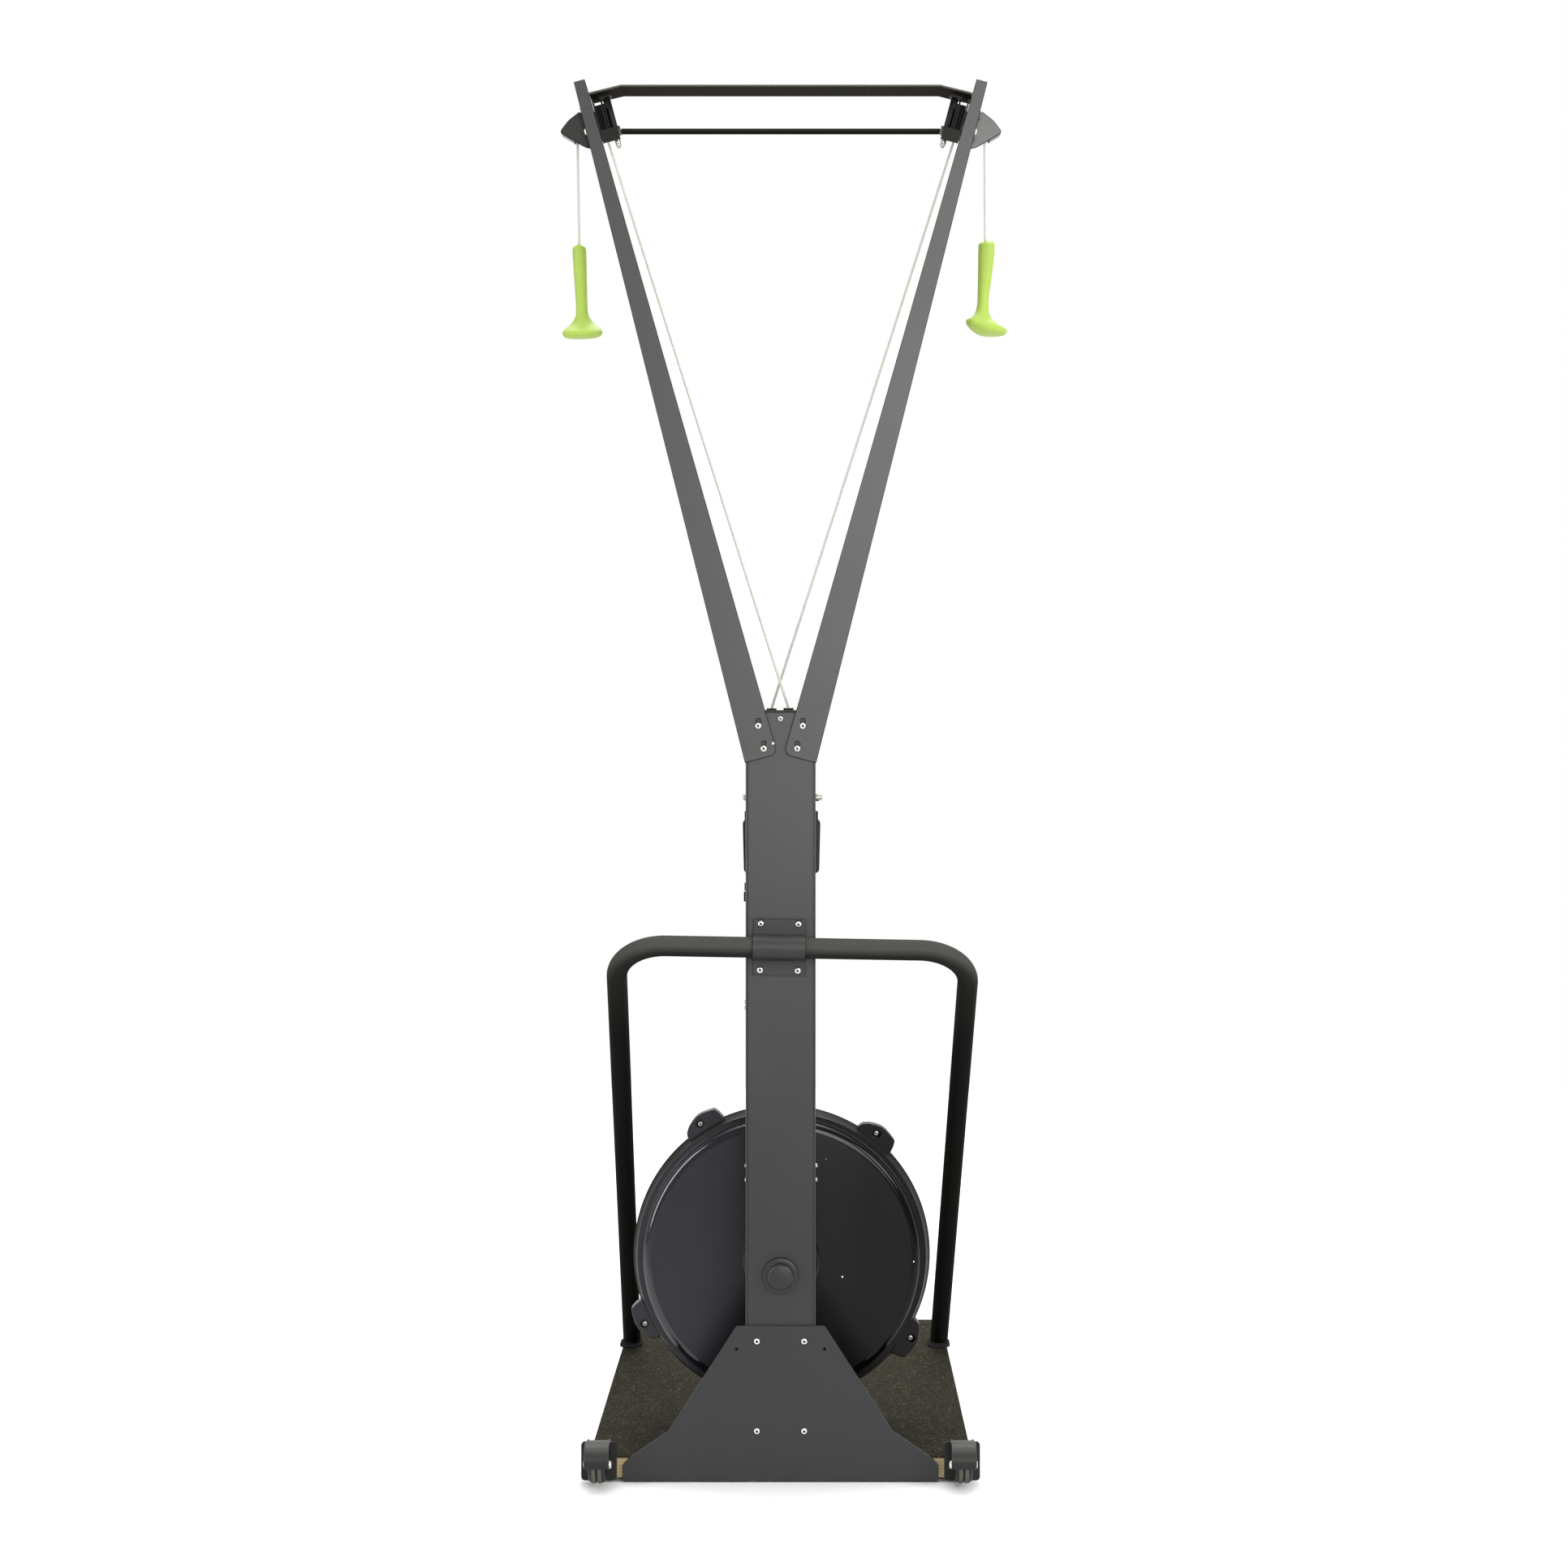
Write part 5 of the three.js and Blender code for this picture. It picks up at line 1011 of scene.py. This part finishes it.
# Three dots on the rear face: place and radius
for *place, r in ((96.5, 139.9, 289, 1.9), (70.6, 139.9, 476, 0.7), (209.7, 141, 313, 1.9)):
    lathe(bm, [(0, 0), (0, r), (0.6, r * 0.8), (1, 0)], facing(BACK, place), 16)
fasteners("shell_screws", bm, bevel=0.1)


VENTS = 16
SEGMENTS = 192
PER = SEGMENTS // VENTS


def slotted_disc(rings, open_cells, low, high):
    """A ring of given radii between two places along the shaft, with some of its cells left open."""
    bm = bmesh.new()
    grid = {}
    for y in (low, high):
        for i, r in enumerate(rings):
            for k, angle in enumerate(turns(SEGMENTS)):
                grid[y, i, k] = bm.verts.new((r * cos(angle), y, DRUM.z + r * sin(angle)))
    last = len(rings) - 1

    def filled(i, k):
        return 0 <= i < last and not open_cells(i, k % SEGMENTS)

    for i in range(last):
        for k in range(SEGMENTS):
            if not filled(i, k):
                continue
            n = (k + 1) % SEGMENTS
            for y in (low, high):
                bm.faces.new([grid[y, a, b] for a, b in ((i, k), (i + 1, k), (i + 1, n), (i, n))])
            for beside, a, b in (((i - 1, k), (i, k), (i, n)), ((i + 1, k), (i + 1, k), (i + 1, n)),
                                 ((i, k - 1), (i, k), (i + 1, k)), ((i, k + 1), (i, n), (i + 1, n))):
                if not filled(*beside):
                    bm.faces.new([grid[low, *a], grid[low, *b], grid[high, *b], grid[high, *a]])
    return bm


def intake_open(i, k):
    """The intake's slots, on ring 1."""
    return i == 1 and (k + PER * 0.62) % (2 * PER) < PER * 1.24


def front_open(i, k):
    """The outer vents on ring 3, and the intake's slots."""
    return intake_open(i, k) or i == 3 and (k + PER * 0.31) % PER < PER * 0.62


bm = slotted_disc([24, 40, 84, 120, 191, 205], front_open, 287, 290)
shoulder = [(192.3, 230.5), (192.3, 238), (195, 238), (196, 236.5), (204, 235), (205, 233.5), (226, 231),
            (227, 229.5), (270, 225.4), (277, 220.5), (285, 211), (289, 205), (290, 201), (287, 201),
            (283, 207), (272, 221.5), (226, 226), (195.3, 230.5)]
lathe(bm, shoulder, AXIS, SEGMENTS, second=(0, 1, 2))
made("shell_front", bm, "shell", "housing_front", bevel=0.5, sharp=30, second="rim")

DAMPER = Sizes(back=290.3, front=293.3, lever=97, end=142, knob=134)
bm = slotted_disc([24, 40, 84, 100], intake_open, DAMPER.back, DAMPER.front)
prism(bm, rounded(-8, 8, DRUM.z + DAMPER.lever, DRUM.z + DAMPER.end, 7.9), "y", DAMPER.back, DAMPER.front)
knob = [(293, 0), (293, 11), (295, 9.5), (301, 9), (304.5, 10.5), (306, 9.5), (306.3, 0)]
lathe(bm, knob, facing(FRONT, (0, 0, DRUM.z + DAMPER.knob)), 40)
made("damper_ring", bm, "caster", "damper", "damper", bevel=0.5)

cap = [(-0.3, 0), (-0.3, 27.5), (-7, 27.5), (-8.4, 27), (-9, 25.8), (-9, 21.2), (-9.6, 20.5), (-17, 20),
       (-19, 18.6), (-19.8, 16), (-20, 0)]
made("end_cap", lathe(bmesh.new(), cap, AXIS, 72), "cap", "shaft_cap")

shaft = [(0.5, 0), (0.5, 7.2), (1.3, 8), (285.2, 8), (286, 7.2), (286, 0)]
bm = lathe(bmesh.new(), shaft, AXIS, 48)
made("main_shaft", bm, "machined", "flywheel_shaft", "flywheel")

REEL = Sizes(bore=8.3, rim=26, floor=15.7)
half = [(10, REEL.bore), (10, REEL.rim), (8, REEL.rim), (8, REEL.floor), (1, REEL.floor), (1, REEL.rim)]
for name, y in (("left", 30), ("right", 70)):
    bm = lathe(bmesh.new(), mirrored(half), facing(FRONT, (0, y, DRUM.z)), 72)
    made(f"cord_reel_{name}", bm, "machined", f"cord_drum_{name}", f"drum_{name}", bevel=0.3)


# Return pulley and its bolt

across = facing(RIGHT, (0, RETURN.y, RETURN.z))
rim = RETURN.radius
half = [(5.5, 4.8), (5.5, rim), (4.9, rim), (2.2, rim - RETURN.cord - 0.3)]
bm = lathe(bmesh.new(), mirrored(half), across, 64)
made("elastic_pulley", bm, "black", "return_pulley", "return_pulley")
BOLT_SEAT = 54.3
shank = [(-BOLT_SEAT, 0), (-BOLT_SEAT, 4.5), (63.4, 4.5), (64.3, 3.8), (64.3, 0)]
bm = lathe(bmesh.new(), shank, across, 32)
button_head(bm, (-BOLT_SEAT, RETURN.y, RETURN.z), LEFT, HEADS.cross)
hex_nut(bm, (BOLT_SEAT, RETURN.y, RETURN.z), RIGHT, *NUTS.cross)
fasteners("cross_bolt", bm, "return_bolt", "stud")


# Handles

GRIP = Sizes(length=146, half=31.4, reach=34.2, square=0.86)
# Height as a share of the length, half breadth as a share of half, two edges as shares of reach
GRIP_SHARES = [
    (0, 0.74, -0.24, 0.86), (0.012, 0.89, -0.36, 0.93), (0.034, 0.97, -0.52, 1), (0.06, 1, -0.66, 0.9),
    (0.09, 0.94, -0.79, 0.7), (0.12, 0.81, -0.87, 0.52), (0.15, 0.66, -0.89, 0.37),
    (0.19, 0.49, -0.66, 0.25), (0.225, 0.38, -0.5, 0.18), (0.26, 0.31, -0.43, 0.155),
    (0.33, 0.288, -0.37, 0.15), (0.6, 0.31, -0.34, 0.28), (0.93, 0.34, -0.32, 0.42),
    (0.965, 0.325, -0.31, 0.42), (1, 0.03, -0.16, 0.34),
]


def joined(before, after):
    """The slope where two stretches meet: level where they turn."""
    return 0 if before * after <= 0 else 2 * before * after / (before + after)


def grip_at(height):
    """The grip's section at a height, on smooth curves through the rows of the table."""
    rows = GRIP_SHARES
    i = max(k for k in range(len(rows) - 1) if rows[k][0] <= height)
    low, high = rows[i], rows[i + 1]
    h = high[0] - low[0]
    t = (height - low[0]) / h
    out = []
    for k in (1, 2, 3):
        a, b = low[k], high[k]
        slope = start = end = (b - a) / h
        if i > 0:
            before = rows[i - 1]
            start = joined((a - before[k]) / (low[0] - before[0]), slope)
        if i + 2 < len(rows):
            after = rows[i + 2]
            end = joined((after[k] - b) / (after[0] - high[0]), slope)
        t2, t3 = t * t, t ** 3
        out.append((2 * t3 - 3 * t2 + 1) * a + (t3 - 2 * t2 + t) * h * start + (3 * t2 - 2 * t3) * b
                   + (t3 - t2) * h * end)
    return out


heights = [0.0]
for (a, *_), (b, *_) in zip(GRIP_SHARES, GRIP_SHARES[1:]):
    count = max(2, ceil((b - a) / 0.02))
    heights += [a + (b - a) * i / count for i in range(1, count + 1)]
for name, side in SIDES:
    x, top = HANDLE[name]
    if side < 0:
        spin = Matrix.Rotation(radians(-2.2), 4, "Y") @ Matrix.Rotation(pi, 4, "Z")
    else:
        spin = Matrix.Rotation(-pi / 2, 4, "Z")
    place = Matrix.Translation((x, CORD_Y, top)) @ spin
    bm = bmesh.new()
    rings = []
    for h in heights:
        half, low, high = grip_at(min(h, 1.0))
        ring = []
        for angle in turns(40):
            c, s = [copysign(abs(v) ** GRIP.square, v) for v in (cos(angle), sin(angle))]
            b = ((low + high) / 2 + s * (high - low) / 2) * GRIP.reach
            ring.append(bm.verts.new(place @ Vector((c * half * GRIP.half, b, (h - 1) * GRIP.length))))
        rings.append(ring)
    skinned(bm, rings)
    made(f"grip_{name}", bm, "lime", f"handle_{name}", f"handle_{name}", bevel=1.2, segments=3,
         sharp=35)


# The monitor's buttons and the rings round them

BUTTONS = Sizes(x=52, z=(994, 976, 958))
places = [facing(FRONT, (BUTTONS.x, 0, z)) for z in BUTTONS.z]
bm = bmesh.new()
for place in places:
    lathe(bm, [(182, 5.0), (182, 6.6), (182.7, 6.2), (182.7, 5.2)], place, 40)
made("button_rings", bm, "black", body="monitor")
for i, place in enumerate(places, 1):
    button = [(179.5, 0), (179.5, 4.5), (182.6, 4.5), (183.2, 4.1), (183.5, 3.2), (183.3, 0)]
    bm = lathe(bmesh.new(), button, place, 40)
    made(f"press_button_{i}", bm, "lime", f"monitor_button_{i}", f"button_{i}")

# A small cable clip on the column's left side, under the monitor: two blocks, each between two corners
CLIP = (((-58.5, 78, 889), (-54.1, 96, 904)), ((-57.5, 80, 906), (-54.1, 94, 918)))
bm = bmesh.new()
for corners in CLIP:
    block(bm, *corners)
made("cable_clip", bm, "black", bevel=0.6)


# Floor and light

FLOOR = Sizes(half=6, front=4.5, z=-0.0005)
floor = bpy.data.meshes.new("floor")
corners = [(-1, -FLOOR.half), (1, -FLOOR.half), (1, FLOOR.front), (-1, FLOOR.front)]
floor.from_pydata([(x * FLOOR.half, y, FLOOR.z) for x, y in corners], [], [(0, 1, 2, 3)])
floor_ob = bpy.data.objects.new("floor", floor)
bpy.context.scene.collection.objects.link(floor_ob)
paper = Shader("paper", roughness=0.95, specular_ior_level=0.1)
near = paper.spread(paper.part("Y"), 0.0, 1.0, -1.9, -1.05)
pale = paper.mix(paper.noise(3, 2), (0.87, 0.87, 0.87), (0.89, 0.89, 0.89))
paper.set("Base Color", paper.mix(near, (0.5, 0.5, 0.5), pale))
floor.materials.append(paper.owner)
floor_ob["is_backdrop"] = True

# The room is white behind the machine and dimmer on the camera's side
world = bpy.data.worlds.new("studio")
bpy.context.scene.world = world
room = Shader("studio", world, "Background", color=(1, 1, 1))
glow = room.node("ShaderNodeMapRange", interpolation_type="SMOOTHSTEP", From_Min=-0.5, From_Max=0.5,
                 To_Min=0.45, To_Max=1.0)
direction = room.node("ShaderNodeTexCoord").outputs["Generated"]
room.links.new(room.part("Y", direction), glow.inputs["Value"])
room.set("Strength", glow.outputs["Result"])


def area_light(name, location, target, size, power):
    data = bpy.data.lights.new(name, "AREA")
    data.shape = "RECTANGLE"
    data.size, data.size_y = size
    data.energy = power
    ob = bpy.data.objects.new(name, data)
    ob.location = location
    ob.rotation_euler = (Vector(target) - Vector(location)).to_track_quat("-Z", "Y").to_euler()
    bpy.context.scene.collection.objects.link(ob)
    return ob


area_light("key", (1.25, -5.8, 2.15), (0, -0.3, 1.3), (2.8, 2.8), 160)
area_light("fill", (-3.1, -2.7, 1.9), (0, 0, 0.9), (0.35, 3), 45).visible_glossy = False
area_light("streak", (-3.1, -2.7, 1.9), (0, 0, 0.9), (0.9, 3), 130).visible_diffuse = False
area_light("side", (3.2, -3, 2.7), (0.3, 0, 1.8), (1.8, 1.8), 90)
area_light("top", (0, -0.3, 4.6), (0, -0.3, 0), (2.5, 2.5), 80)
area_light("back", (0, 3.2, 5), (0, 2.4, 0), (4, 3), 200)

low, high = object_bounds()
